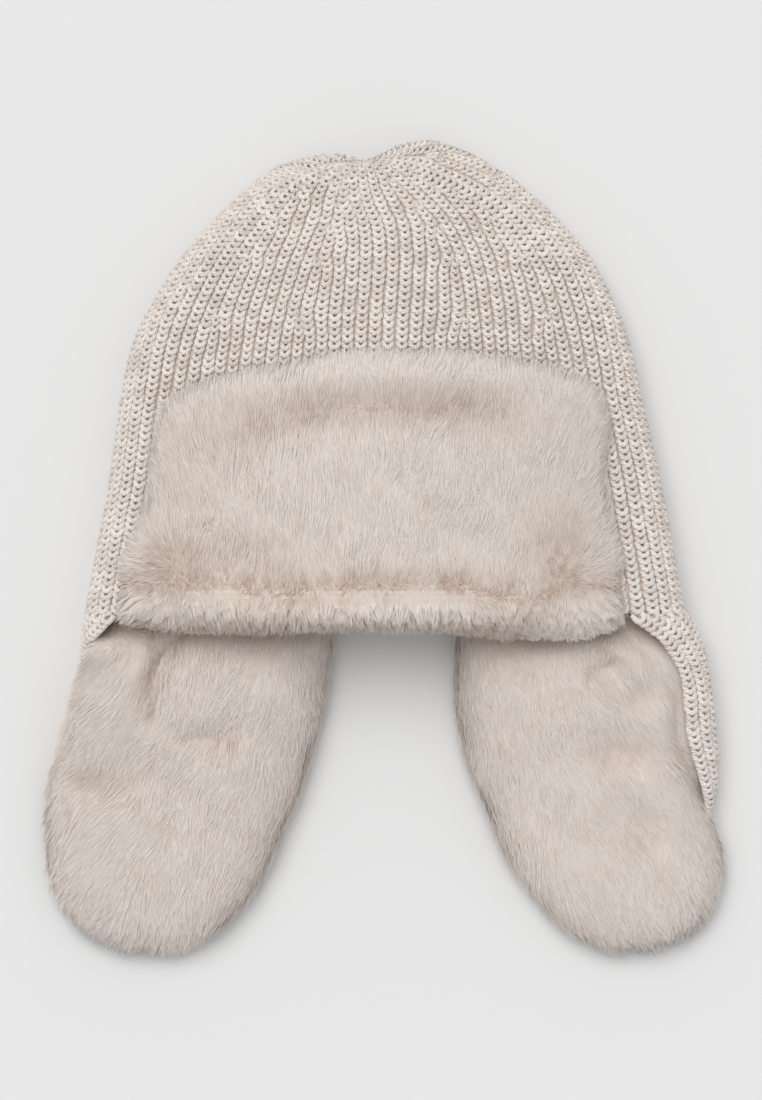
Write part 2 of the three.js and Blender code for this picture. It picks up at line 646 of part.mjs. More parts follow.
function frontFur(across, along) {
  const row = rowAt(FRONT_FUR_ROWS, along * (FRONT_FUR_ROWS.length - 1));
  const x = lerp(-row.left, row.right, across) * FRONT_FLAP_HALF_WIDTH;
  const drop = rollDrop(across);
  const y = row.up > 0 ? row.up * FRONT_FLAP_RISE : (row.up / FRONT_FUR_ROWS[0].up) * -drop;
  const seat = crownFront(x, y) + 3 * SEAM_GAP;
  const hang = smoothstep(-y, SEAM_GAP, 1.5) * (KNIT_WALL + 1) - smoothstep(-y, 0.4 * drop, drop) * ROLL_CURL;
  const folded = Math.exp(-(((y - 1) / (1.1 * FRONT_ROLL_DROP)) ** 2)) * FRONT_ROLL_LIFT;
  const parting = Math.exp(-(((y - 10) / 4) ** 2)) * CREASE;
  const thick = row.swell * PILE * (1 - dented(FRONT_DENTS, across, along)) + (folded - parting) * row.swell;
  return { x, y, under: seat - hang, upper: seat + thick * crowned(across) };
}

function makeFrontFur() {
  const rowOf = (up) => rowWhere(FRONT_FUR_ROWS, "up", up) / (FRONT_FUR_ROWS.length - 1);
  const stops = FRONT_FUR_ROWS.map((row) => rowOf(row.up));
  const rings = stops.map((along) => {
    const ring = [];
    for (let j = 0; j <= FUR_ACROSS; j += 1) {
      const { x, y, under } = frontFur(j / FUR_ACROSS, along);
      ring.push(new THREE.Vector3(x, y, under));
    }
    for (let j = FUR_ACROSS; j >= 0; j -= 1) {
      const { x, y, upper } = frontFur(j / FUR_ACROSS, along);
      ring.push(new THREE.Vector3(x, y, upper));
    }
    return ring;
  });
  const surface = upperSide(frontFur);
  const folded = PARTING + 0.1;
  const flow = (across, along) => ({
    x: lerp(-0.8, 0.8, across),
    y: along < folded ? -1 : 1.2,
    reach: along < folded ? lerp(0.15, 0.6, along / folded) : lerp(1, 0.6, smoothstep(along, 0.7, 0.95)),
  });
  return mainBody(withLocks(loft(rings, 1), surface, flow, 9, 9).subtract(crownRoom(SEAM_GAP)));
}

// The whole hat

const hat = new THREE.Group();
hat.add(meshOf("crown", makeCrown(), KNIT_COLOUR, 0.9));
for (const [name, flap] of [
  ["right", RIGHT_FLAP],
  ["left", LEFT_FLAP],
]) {
  hat.add(meshOf(`ear_flap_shell_${name}`, makeShell(flap.shellRows, flap.side), KNIT_COLOUR, 0.9));
  hat.add(meshOf(`ear_flap_fur_${name}`, makeEarFur(flap), FUR_COLOUR, 0.8));
}
hat.add(meshOf("front_flap_fur", makeFrontFur(), FUR_COLOUR, 0.8));

const bounds = new THREE.Box3().setFromObject(hat, true);
const middle = bounds.getCenter(new THREE.Vector3());
hat.position.set(-middle.x, -middle.y, -bounds.min.z);

const part = new THREE.Group();
part.add(hat);
export default part;
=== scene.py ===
# %% [markdown]
# # A knitted aviator hat with fur flaps
# The hat lies on its back. Its crown is knitted in thick ribs, its front flap is turned up and shows
# fur, and its two ear flaps point down with their fur side up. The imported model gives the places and
# sizes. This file adds every stitch as a loop of yarn and the fur as strands.

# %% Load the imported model
import math

import bmesh
import bpy
import numpy as np
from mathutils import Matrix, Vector
from mathutils.kdtree import KDTree


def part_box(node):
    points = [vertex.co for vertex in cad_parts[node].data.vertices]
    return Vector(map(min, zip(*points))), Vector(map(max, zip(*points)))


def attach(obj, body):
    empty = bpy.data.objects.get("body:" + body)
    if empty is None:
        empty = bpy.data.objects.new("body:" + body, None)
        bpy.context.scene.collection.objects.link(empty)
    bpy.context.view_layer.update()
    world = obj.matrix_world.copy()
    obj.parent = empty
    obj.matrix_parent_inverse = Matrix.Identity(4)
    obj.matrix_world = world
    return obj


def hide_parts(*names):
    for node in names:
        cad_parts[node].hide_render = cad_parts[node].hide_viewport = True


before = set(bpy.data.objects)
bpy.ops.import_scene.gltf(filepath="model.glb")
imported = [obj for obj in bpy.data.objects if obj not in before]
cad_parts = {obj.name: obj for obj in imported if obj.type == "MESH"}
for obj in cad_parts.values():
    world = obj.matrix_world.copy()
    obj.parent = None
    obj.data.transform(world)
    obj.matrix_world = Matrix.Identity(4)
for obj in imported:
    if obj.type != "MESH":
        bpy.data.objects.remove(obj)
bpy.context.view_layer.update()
crown_low, crown_high = (np.array(corner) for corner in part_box("crown"))
shell_low, shell_high = (np.array(corner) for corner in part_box("ear_flap_shell_right"))
hat_x = (crown_low[0] + crown_high[0]) / 2
rim_y = crown_low[1]
rim_half = (crown_high[0] - crown_low[0]) / 2
crown_rise = crown_high[1] - crown_low[1]
loft = crown_high[2]
side_roll = shell_high[2] / 2
print("rim at y", rim_y, "half width", rim_half, "rise", crown_rise, "loft", loft)

# %% [markdown]
# ## Camera
# The photo looks straight down on the hat from far away, so the camera hangs above it with a long
# lens. The view is as tall as the photo, which shows 0.44 mm in each of its pixels. The middle of
# the rim lies at PHOTO_RIM, counted in pixels from the photo's upper left corner.

# %% Camera
MM = 0.001
PHOTO_PIXELS = (762, 1100)
PIXEL = 0.44 * MM
PHOTO_RIM = (385, 612)
CAMERA_HEIGHT = 1.6
PICTURE_LEVEL = 0.02
SENSOR_WIDTH = 36

view_height = PHOTO_PIXELS[1] * PIXEL
camera_data = bpy.data.cameras.new("camera")
camera_data.sensor_width = SENSOR_WIDTH
camera_data.lens = SENSOR_WIDTH * (CAMERA_HEIGHT - PICTURE_LEVEL) / view_height
camera = bpy.data.objects.new("camera", camera_data)
camera.location = (
    hat_x + (PHOTO_PIXELS[0] / 2 - PHOTO_RIM[0]) * PIXEL,
    rim_y + (PHOTO_RIM[1] - PHOTO_PIXELS[1] / 2) * PIXEL,
    CAMERA_HEIGHT,
)
bpy.context.scene.collection.objects.link(camera)
bpy.context.scene.camera = camera
print("lens", round(camera_data.lens, 1), "mm, view height", round(view_height, 3), "m")

# %% [markdown]
# ## Light and floor
# The hat lies on a plain pale surface in soft, even light. A broad sun stands high over the
# crown's end, a little to the left, and throws a short blurred shadow below the hat. Its breadth,
# in degrees, sets the blur. A bright surround fills the rest.

# %% Light
SUN_FROM = (-0.2, 0.46, 1.0)
SUN_STRENGTH = 1.46
SUN_BREADTH = 42
SURROUND = 0.595

scene = bpy.context.scene
scene.view_settings.view_transform = "Standard"
world = bpy.data.worlds.new("surround")
world.use_nodes = True
background = world.node_tree.nodes["Background"]
background.inputs["Color"].default_value = (1.0, 1.0, 1.0, 1)
background.inputs["Strength"].default_value = SURROUND
scene.world = world

sun_data = bpy.data.lights.new("sun", "SUN")
sun_data.energy = SUN_STRENGTH
sun_data.angle = math.radians(SUN_BREADTH)
sun = bpy.data.objects.new("sun", sun_data)
sun.rotation_euler = (-Vector(SUN_FROM)).to_track_quat("-Z", "Y").to_euler()
scene.collection.objects.link(sun)
print("sun", SUN_STRENGTH, "surround", SURROUND)

# %% Floor
FLOOR_HALF_SIDE = 4
FLOOR_COLOUR = (0.80, 0.80, 0.80, 1)
FLOOR_ROUGHNESS = 0.9

floor_mesh = bpy.data.meshes.new("floor")
floor_build = bmesh.new()
bmesh.ops.create_grid(floor_build, x_segments=1, y_segments=1, size=FLOOR_HALF_SIDE)
floor_build.to_mesh(floor_mesh)
floor_build.free()
floor = bpy.data.objects.new("floor", floor_mesh)
floor_paint = bpy.data.materials.new("floor_paint")
floor_paint.use_nodes = True
floor_shader = floor_paint.node_tree.nodes["Principled BSDF"]
floor_shader.inputs["Base Color"].default_value = FLOOR_COLOUR
floor_shader.inputs["Roughness"].default_value = FLOOR_ROUGHNESS
floor_mesh.materials.append(floor_paint)
scene.collection.objects.link(floor)
print("floor", 2 * FLOOR_HALF_SIDE, "m wide")

# %% [markdown]
# ## Yarn and fur finishes
# Yarn and fur are the same warm off-white. What differs is how they are built: yarn is plied, with
# fine slanting grooves and fuzz, and each fur strand is darker at its root than at its tip. Both
# effects are node groups, so that every material that needs them reads the same recipe.


# %% Node groups
def node_group(name, inputs, outputs):
    """An empty shader group with named sockets, and its input and output nodes."""
    group = bpy.data.node_groups.new(name, "ShaderNodeTree")
    for label, kind, value in inputs:
        socket = group.interface.new_socket(label, in_out="INPUT", socket_type=kind)
        socket.default_value = value
    for label, kind in outputs:
        group.interface.new_socket(label, in_out="OUTPUT", socket_type=kind)
    return group, group.nodes.new("NodeGroupInput"), group.nodes.new("NodeGroupOutput")


def calculate(tree, operation, first, second=0.0):
    """A math node whose two inputs are sockets or numbers. Returns its output."""
    node = tree.nodes.new("ShaderNodeMath")
    node.operation = operation
    for socket, value in zip(node.inputs, (first, second)):
        if isinstance(value, bpy.types.NodeSocket):
            tree.links.new(value, socket)
        else:
            socket.default_value = value
    return node.outputs[0]


def blend_colours(tree, factor, first, second):
    """A mix of two colours, each a socket or a value. Returns its output."""
    node = tree.nodes.new("ShaderNodeMix")
    node.data_type = "RGBA"
    for socket, value in zip((node.inputs[0], node.inputs[6], node.inputs[7]), (factor, first, second)):
        if isinstance(value, bpy.types.NodeSocket):
            tree.links.new(value, socket)
        else:
            socket.default_value = value
    return node.outputs[2]


def cloudiness(tree, scale, detail):
    """Soft noise over the object. Returns its value output."""
    where = tree.nodes.new("ShaderNodeTexCoord")
    noise = tree.nodes.new("ShaderNodeTexNoise")
    noise.inputs["Detail"].default_value = detail
    noise.inputs["Scale"].default_value = scale
    tree.links.new(where.outputs["Object"], noise.inputs["Vector"])
    return noise.outputs[0]


# %% [markdown]
# The yarn group reads an attribute that each loop of yarn carries: how far round the yarn a point
# lies, counted from its under side, how far along, and a tone of the loop's own. A wave that runs
# round and along at once gives the slanting grooves between the plies. The grooves raise the bump
# and are painted darker in the Shade colour as painted shade. The loop's tone and the fuzz mix in the
# same colour as real unevenness.

# %% Plied yarn group
plied, plied_in, plied_out = node_group(
    "plied_yarn",
    [
        ("Light", "NodeSocketColor", (0.94, 0.875, 0.82, 1)),
        ("Shade", "NodeSocketColor", (0.57, 0.475, 0.415, 1)),
        ("Plies", "NodeSocketFloat", 3.0),
        ("Grooves per metre", "NodeSocketFloat", 760.0),
        ("Groove", "NodeSocketFloat", 0.48),
        ("Unevenness", "NodeSocketFloat", 0.5),
    ],
    [("Color", "NodeSocketColor"), ("Height", "NodeSocketFloat")],
)
yarn_place = plied.nodes.new("ShaderNodeAttribute")
yarn_place.attribute_name = "yarn"
yarn_axes = plied.nodes.new("ShaderNodeSeparateXYZ")
plied.links.new(yarn_place.outputs["Vector"], yarn_axes.inputs[0])
turns = calculate(
    plied,
    "ADD",
    calculate(plied, "MULTIPLY", yarn_axes.outputs[0], plied_in.outputs["Plies"]),
    calculate(plied, "MULTIPLY", yarn_axes.outputs[1], plied_in.outputs["Grooves per metre"]),
)
wave = calculate(plied, "SINE", calculate(plied, "MULTIPLY", turns, 2 * math.pi))
# The sine runs from -1 to 1, and half of it plus a half from 0 to 1.
ply = calculate(plied, "MULTIPLY_ADD", wave, 0.5)
ply.node.inputs[2].default_value = 0.5
fuzz = cloudiness(plied, scale=1100.0, detail=3.0)
ply_height = calculate(plied, "ADD", ply, fuzz)
uneven = calculate(
    plied,
    "MULTIPLY",
    calculate(plied, "SUBTRACT", calculate(plied, "ADD", yarn_axes.outputs[2], fuzz), 1.0),
    plied_in.outputs["Unevenness"],
)
# Painted shade: the grooves between the plies are mixed towards the Shade colour.
groove = calculate(plied, "MULTIPLY", calculate(plied, "SUBTRACT", 1.0, ply), plied_in.outputs["Groove"])
shaded = calculate(plied, "ADD", groove, uneven)
shaded.node.use_clamp = True
plied.links.new(
    blend_colours(plied, shaded, plied_in.outputs["Light"], plied_in.outputs["Shade"]),
    plied_out.inputs["Color"],
)
plied.links.new(ply_height, plied_out.inputs["Height"])
print("plied_yarn has", len(plied.nodes), "nodes")

# %% [markdown]
# The strand group reads how far up a strand a point lies, the strand's own tone, and how brown its
# root is. The brown shows where the pile is open, such as along the parting and at the swirls, and
# on the roll, in dips and in creases it is partly or wholly painted shade. It fades toward the tip by
# the share ROOT_FADE. The tone, too, holds painted shade and painted light in places.

# %% Strand group
ROOT_FADE = 0.6

strand_tint, strand_in, strand_out = node_group(
    "fur_strand",
    [
        ("Root", "NodeSocketColor", (0.46, 0.32, 0.24, 1)),
        ("Middle", "NodeSocketColor", (0.72, 0.63, 0.565, 1)),
        ("Tip", "NodeSocketColor", (0.97, 0.905, 0.85, 1)),
        ("Root reach", "NodeSocketFloat", 0.8),
    ],
    [("Color", "NodeSocketColor")],
)
strand_place = strand_tint.nodes.new("ShaderNodeAttribute")
strand_place.attribute_name = "strand"
strand_axes = strand_tint.nodes.new("ShaderNodeSeparateXYZ")
strand_tint.links.new(strand_place.outputs["Vector"], strand_axes.inputs[0])
rooted = calculate(strand_tint, "DIVIDE", strand_axes.outputs[0], strand_in.outputs["Root reach"])
rooted.node.use_clamp = True
bare = calculate(strand_tint, "SUBTRACT", 1.0, calculate(strand_tint, "MULTIPLY", rooted, ROOT_FADE))
brown = calculate(strand_tint, "MULTIPLY", bare, strand_axes.outputs[2])
tipped = calculate(strand_tint, "MULTIPLY", strand_axes.outputs[0], strand_axes.outputs[1])
upper = blend_colours(strand_tint, tipped, strand_in.outputs["Middle"], strand_in.outputs["Tip"])
strand_tint.links.new(
    blend_colours(strand_tint, brown, upper, strand_in.outputs["Root"]), strand_out.inputs["Color"]
)
print("fur_strand has", len(strand_tint.nodes), "nodes")


# %% [markdown]
# The knit's reverse and the underfur are seen only through gaps, so a soft noise that mixes two
# colours and raises the surface is enough for them. Nothing on the hat shines, so every material
# has little specular light, and the fur and the yarn have a sheen instead, as fine fibres do.

# %% Materials
SPECULAR = 0.2
SHEEN_ROUGHNESS = 0.6
MOTTLE_DETAIL = 4.0


def new_material(name, roughness, sheen=0.0):
    """A material with its tree and its Principled shader."""
    material = bpy.data.materials.new(name)
    material.use_nodes = True
    shader = material.node_tree.nodes["Principled BSDF"]
    shader.inputs["Roughness"].default_value = roughness
    shader.inputs["Specular IOR Level"].default_value = SPECULAR
    shader.inputs["Sheen Weight"].default_value = sheen
    shader.inputs["Sheen Roughness"].default_value = SHEEN_ROUGHNESS
    return material, material.node_tree, shader


def bump(tree, shader, height, strength, distance):
    """Feeds a height to a shader's normal."""
    node = tree.nodes.new("ShaderNodeBump")
    node.inputs["Strength"].default_value = strength
    node.inputs["Distance"].default_value = distance
    tree.links.new(height, node.inputs["Height"])
    tree.links.new(node.outputs[0], shader.inputs["Normal"])


def grouped_material(name, group, roughness, sheen, relief=None):
    """A material whose colour comes from a node group, and its bump too if it has a relief."""
    material, tree, shader = new_material(name, roughness, sheen)
    recipe = tree.nodes.new("ShaderNodeGroup")
    recipe.node_tree = group
    tree.links.new(recipe.outputs["Color"], shader.inputs["Base Color"])
    if relief:
        bump(tree, shader, recipe.outputs["Height"], *relief)
    return material


def mottled_material(name, roughness, scale, dark, light, relief):
    """A material of two colours that a soft noise mixes and raises."""
    material, tree, shader = new_material(name, roughness)
    mottle = cloudiness(tree, scale, MOTTLE_DETAIL)
    tree.links.new(blend_colours(tree, mottle, dark, light), shader.inputs["Base Color"])
    bump(tree, shader, mottle, *relief)
    return material


# Each relief: how strong the bump is, and how far it stands out.
yarn_material = grouped_material(
    "off_white_yarn", plied, roughness=0.85, sheen=0.15, relief=(0.7, 0.4 * MM)
)
wall_material = mottled_material(
    "knit_reverse",
    roughness=0.9,
    scale=260.0,
    dark=(0.62, 0.50, 0.43, 1),
    light=(0.80, 0.70, 0.63, 1),
    relief=(0.8, MM),
)
fur_material = grouped_material("off_white_fur", strand_tint, roughness=0.75, sheen=0.4)
underfur_material = mottled_material(
    "underfur",
    roughness=0.95,
    scale=700.0,
    dark=(0.66, 0.54, 0.46, 1),
    light=(0.82, 0.73, 0.66, 1),
    relief=(0.7, 1.2 * MM),
)
print(len(bpy.data.materials), "materials and", len(bpy.data.node_groups), "node groups")


# %% [markdown]
# ## The crown's form
# The lying crown is a flattened tube that narrows to a gather. A short table gives its sections, as
# shares of the hat's own sizes, and a smooth curve through the rows gives every section between.
# Front and back say how far up the crown a section's front and back stand, which slants it. Half is
# its half width. Top and base are its heights, and roll is the round of its sides. Shift moves it
# aside, lean tips its back to one side, and notch draws its back in at the middle.

# %% Sections of the crown
# Each row: front, back, half, top, base, roll, shift, lean, notch.
CROWN_ROWS = [
    (0, 0, 1, 0.88, 0, 1, 0, 0, 0),
    (0.14, 0.14, 0.96, 0.93, 0, 0.97, 0, 0, 0),
    (0.29, 0.29, 0.917, 0.98, 0, 0.93, 0, 0, 0),
    (0.45, 0.45, 0.871, 1, 0, 0.88, -0.012, 0, 0),
    (0.575, 0.585, 0.823, 0.99, 0, 0.85, -0.012, 0, 0),
    (0.69, 0.725, 0.722, 0.95, 0, 0.82, 0, 0, 0),
    (0.755, 0.825, 0.615, 0.9, 0.01, 0.78, 0.004, 0, 0),
    (0.812, 0.915, 0.483, 0.83, 0.05, 0.7, -0.004, 0.006, 0),
    (0.852, 0.965, 0.37, 0.76, 0.12, 0.6, -0.03, 0.014, 0.01),
    (0.892, 0.985, 0.255, 0.68, 0.24, 0.45, -0.05, 0.022, 0.026),
    (0.928, 0.972, 0.15, 0.6, 0.38, 0.22, -0.06, 0.02, 0.014),
    (0.954, 0.954, 0, 0.53, 0.53, 0, -0.068, 0, 0),
]
KNIT_WALL = 4.2 * MM
PRESSED = 0.5 * MM
NOTCH_HALF_WIDTH = 9 * MM
ARC_STEPS = 40
LOOKUP_STEPS = 400
TINY = 1e-9


def row_at(table, at):
    """Every column of a table at fractional rows, on a smooth curve through the rows."""
    table = np.asarray(table, float)
    at = np.asarray(at, float)
    last = len(table) - 1
    i = np.clip(np.floor(at).astype(int), 0, last - 1)
    f = (at - i)[..., None]
    a, b, c, d = (table[np.clip(i + k, 0, last)] for k in (-1, 0, 1, 2))
    bend = 2 * b - 2 * c + (c - a) / 2 + (d - b) / 2
    turn = 3 * c - 3 * b - (c - a) - (d - b) / 2
    return np.moveaxis(((bend * f + turn) * f + (c - a) / 2) * f + b, -1, 0)


def row_where(table, column, value):
    """The fractional rows where a rising column reaches the given values."""
    at = np.linspace(0, len(table) - 1, LOOKUP_STEPS)
    return np.interp(value, row_at(table, at)[column], at)


def bell(distance, breadth):
    """1 where a distance is nothing, fading to nothing a few breadths away."""
    return np.exp(-((distance / breadth) ** 2))


def section_top(x, half, roll, base, top):
    """Height of a section's front at x: level over the sides and domed in the middle."""
    flat = np.maximum(half - roll, TINY)
    dome = np.cos(np.pi / 2 * np.clip(np.abs(x) / flat, 0, 1)) ** 2
    low = base + 2 * roll
    return low + (top - low) * dome


def crown_ring(at, shares):
    """Points of one section at shares of the way round it, from the front centre towards +X."""
    front, back, half, top, base, roll, shift, lean, notch = row_at(CROWN_ROWS, at)
    half = max(half * rim_half, 0)
    base = base * loft - PRESSED
    top = max(top * loft, base)
    roll = max(min(roll * side_roll, (top - base) / 2, half), 0)
    flat = half - roll
    over = np.linspace(0, flat, ARC_STEPS)
    round_side = np.pi / 2 - np.linspace(0, np.pi, ARC_STEPS)[1:]
    x = np.concatenate([over, flat + roll * np.cos(round_side), [0]])
    z = np.concatenate(
        [section_top(over, half, roll, base, top), base + roll * (1 + np.sin(round_side)), [base]]
    )
    run = np.concatenate([[0], np.cumsum(np.hypot(np.diff(x), np.diff(z)))])
    side = np.where(shares <= 0.5, 1, -1)
    want = 2 * np.where(shares <= 0.5, shares, 1 - shares) * run[-1]
    px = side * np.interp(want, run, x)
    pz = np.interp(want, run, z)
    up = np.clip((pz - base) / max(top - base, TINY), 0, 1)
    tilt = lean * crown_rise * (1 - up) * px / max(half, TINY)
    dip = notch * crown_rise * (1 - up) * bell(px, NOTCH_HALF_WIDTH)
    py = (back + (front - back) * up) * crown_rise + tilt - dip
    return np.stack([hat_x + px + shift * rim_half, rim_y + py, pz], axis=1)


def crown_sheet(levels, steps):
    """Rings of points up the crown, one more than steps in each, so that the last meets the first."""
    shares = np.linspace(0, 1, steps + 1)
    return np.array([crown_ring(at, shares) for at in levels])


CROWN_TOP = len(CROWN_ROWS) - 1
CROWN_LEVELS = 221
RING_STEPS = 720
crown_levels = np.linspace(0, CROWN_TOP, CROWN_LEVELS)
crown_skin = crown_sheet(crown_levels, RING_STEPS)
ring_steps = np.linalg.norm(np.diff(crown_skin, axis=1), axis=2)
crown_girths = ring_steps.sum(axis=1)
print("girth at the rim", round(float(crown_girths[0]), 4), "m")


# %% [markdown]
# ## Sheets of points
# Every surface here is kept as a sheet of points, so any place on it has a point and three
# directions: across, along and outwards. Yarn and fur are laid out in those directions.

# %% Places on a sheet
SHORTEST = 1e-12


def on_sheet(sheet, across, along):
    """Points at fractional places, 0 to 1 both ways, straight between the sheet's own points."""
    rows, columns = sheet.shape[0] - 1, sheet.shape[1] - 1
    u = np.clip(across, 0, 1) * columns
    v = np.clip(along, 0, 1) * rows
    i = np.minimum(v.astype(int), rows - 1)
    j = np.minimum(u.astype(int), columns - 1)
    fu, fv = (u - j)[:, None], (v - i)[:, None]
    low = sheet[i, j] * (1 - fu) + sheet[i, j + 1] * fu
    high = sheet[i + 1, j] * (1 - fu) + sheet[i + 1, j + 1] * fu
    return low * (1 - fv) + high * fv


def unit(vectors):
    """Vectors of length 1. A vector of no length stays as it is."""
    return vectors / np.maximum(np.linalg.norm(vectors, axis=-1, keepdims=True), SHORTEST)


def directions(sheet, across, along, wraps=False, facing=1, reach=0.004):
    """Unit directions across, along and outwards at places on a sheet. facing -1 turns it over."""
    right, left = across + reach, across - reach
    if wraps:
        right, left = right % 1, left % 1
    beside = unit(on_sheet(sheet, right, along) - on_sheet(sheet, left, along)) * facing
    onward = on_sheet(sheet, across, along + reach) - on_sheet(sheet, across, along - reach)
    out = unit(np.cross(beside, onward))
    return beside, unit(np.cross(out, beside)), out


# %% [markdown]
# A sheet becomes a piece when a grid is laid on it. Thousands of stitches or strands as objects of
# their own would be slow, so each kind is one mesh of many copies, whose points are worked out
# together. Each point carries an attribute, from which the yarn or the strand takes its colours.

# %% Making meshes
MERGE_DISTANCE = 1e-6


def new_piece(name, mesh, material):
    """An object for a mesh, with its material, which rides on the hat."""
    piece = bpy.data.objects.new(name, mesh)
    scene.collection.objects.link(piece)
    mesh.materials.append(material)
    mesh.polygons.foreach_set("use_smooth", [True] * len(mesh.polygons))
    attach(piece, "root")
    return piece


def laid_grid(name, sheet, material, facing=1):
    """A grid laid on a sheet of points that closes on itself. facing -1 turns it over."""
    rows, columns = sheet.shape[0] - 1, sheet.shape[1] - 1
    build = bmesh.new()
    bmesh.ops.create_grid(build, x_segments=columns, y_segments=rows, size=0.5)
    for vertex in build.verts:
        j = round((vertex.co.x + 0.5) * columns)
        i = round((vertex.co.y + 0.5) * rows)
        vertex.co = sheet[i, j]
    if facing < 0:
        bmesh.ops.reverse_faces(build, faces=build.faces)
    bmesh.ops.remove_doubles(build, verts=build.verts, dist=MERGE_DISTANCE)
    mesh = bpy.data.meshes.new(name)
    build.to_mesh(mesh)
    build.free()
    print(name, len(mesh.polygons), "faces")
    return new_piece(name, mesh, material)


def pinched(first, second):
    """One sheet that runs over a first sheet and back over a second, shut at both ends."""
    second = second.copy()
    second[0], second[-1] = first[0], first[-1]
    return np.concatenate([first, second[:, ::-1], first[:, :1]], axis=1)


def joined(name, points, faces, attribute, values, material, normals=None):
    """One mesh of many small copies: points is copies by points by 3, and faces is for one copy."""
    copies, per_copy = points.shape[:2]
    index = (faces[None] + (np.arange(copies) * per_copy)[:, None, None]).reshape(-1)
    corners = faces.shape[1]
    mesh = bpy.data.meshes.new(name)
    mesh.vertices.add(copies * per_copy)
    mesh.vertices.foreach_set("co", points.reshape(-1).astype(np.float32))
    mesh.loops.add(len(index))
    mesh.loops.foreach_set("vertex_index", index.astype(np.int32))
    mesh.polygons.add(len(index) // corners)
    mesh.polygons.foreach_set("loop_start", np.arange(0, len(index), corners, dtype=np.int32))
    layer = mesh.attributes.new(attribute, "FLOAT_VECTOR", "POINT")
    layer.data.foreach_set("vector", values.reshape(-1).astype(np.float32))
    mesh.update(calc_edges=True)
    mesh.validate()
    print(name, copies, "copies,", len(mesh.polygons), "triangles")
    piece = new_piece(name, mesh, material)
    if normals is not None:
        mesh.normals_split_custom_set_from_vertices(normals.reshape(-1, 3).tolist())
    return piece


# %% [markdown]
# ## The knitted wall
# Behind the stitches lies a plain wall in a darker shade, as the back of the knit looks through the
# holes between the loops. It is one grid laid on the crown's skin, closed where it meets itself.

# %% Crown wall
STITCH_DEPTH = 1.8 * MM
CROWN_WALL = {"columns": 120, "rows": 56, "top": 0.99, "wraps": True}


def sunk(sheet, depth, columns, rows, top=1.0, wraps=False, facing=1):
    """A coarser sheet that lies a depth under another."""
    across, along = np.meshgrid(np.linspace(0, 1, columns + 1), np.linspace(0, top, rows + 1))
    across, along = across.reshape(-1), along.reshape(-1)
    out = directions(sheet, across, along, wraps, facing)[2]
    return (on_sheet(sheet, across, along) - out * depth).reshape(rows + 1, columns + 1, 3)


outer = sunk(crown_skin, STITCH_DEPTH, **CROWN_WALL)
inner = sunk(crown_skin, KNIT_WALL, **CROWN_WALL)
wall_sheet = np.concatenate([outer, inner[::-1], outer[:1]])
wall = laid_grid("crown_wall", wall_sheet, wall_material)
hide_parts("crown")

# %% [markdown]
# ## One stitch
# In this thick rib every stitch shows as a fat U: a round bottom, and two arms that rise and sink
# under the bottom of the next stitch. The yarn is a bevelled curve, made once as a mesh. Where the
# hat is seldom seen, a plainer stitch has every other point of the path and a squarer yarn.

# %% Stitch template
# Each point: across, along and out, in millimetres.
STITCH_PATH = [
    (-0.7, 3.6, -1.3),
    (-1.35, 2.3, -0.65),
    (-1.66, 0.8, -0.05),
    (-1.15, -0.5, 0.55),
    (0, -0.95, 0.85),
    (1.15, -0.5, 0.55),
    (1.66, 0.8, -0.05),
    (1.35, 2.3, -0.65),
    (0.7, 3.6, -1.3),
]
YARN_THICKNESS = 2.35
STITCH_WIDTH = 5.9
STITCH_HEIGHT = 3.1


def yarn_template(path, thickness, sides_level):
    """Points, triangles and yarn places of a piece of yarn along a path, in millimetres."""
    curve = bpy.data.curves.new("yarn_path", "CURVE")
    curve.dimensions = "3D"
    curve.bevel_depth = thickness / 2
    curve.bevel_resolution = sides_level
    spline = curve.splines.new("POLY")
    spline.points.add(len(path) - 1)
    for point, place in zip(spline.points, path):
        point.co = (*place, 1)
    holder = bpy.data.objects.new("yarn_path", curve)
    build = bmesh.new()
    yarn_mesh = bpy.data.meshes.new_from_object(holder)
    build.from_mesh(yarn_mesh)
    bmesh.ops.triangulate(build, faces=build.faces)
    build.verts.ensure_lookup_table()
    points = np.array([vertex.co[:] for vertex in build.verts])
    faces = np.array([[vertex.index for vertex in face.verts] for face in build.faces])
    build.free()
    bpy.data.objects.remove(holder)
    bpy.data.curves.remove(curve)
    bpy.data.meshes.remove(yarn_mesh)
    spine = np.array(path)
    run = np.concatenate([[0], np.cumsum(np.linalg.norm(np.diff(spine, axis=0), axis=1))])
    ahead = unit(np.gradient(spine, axis=0))
    under = unit(np.array([0, 0, -1]) + ahead * ahead[:, 2:])
    beside = np.cross(ahead, under)
    ring = np.arange(len(points)) // (len(points) // len(path))
    spoke = points - spine[ring]
    angle = np.arctan2((spoke * beside[ring]).sum(axis=1), (spoke * under[ring]).sum(axis=1))
    places = np.stack([angle / (2 * np.pi) % 1, run[ring] * MM, np.zeros(len(points))], axis=1)
    print("template", len(points), "points", len(faces), "triangles")
    return points, faces, places


stitch, stitch_faces, stitch_places = yarn_template(STITCH_PATH, YARN_THICKNESS, 1)
plain_stitch, plain_faces, plain_places = yarn_template(STITCH_PATH[::2], YARN_THICKNESS, 0)


# %% [markdown]
# ## Rows and ribs
# Eighty-four ribs climb from the rim. Above the shoulder the crown narrows, so in each of twelve
# gores the ribs keep their width and the ones at the far border are taken in, which draws the
# slanting lines that run up to the gather. Close to it the last ribs are drawn narrow.

# %% Stitch places on the crown
RIBS_IN_GORE = 7
GORES = 12
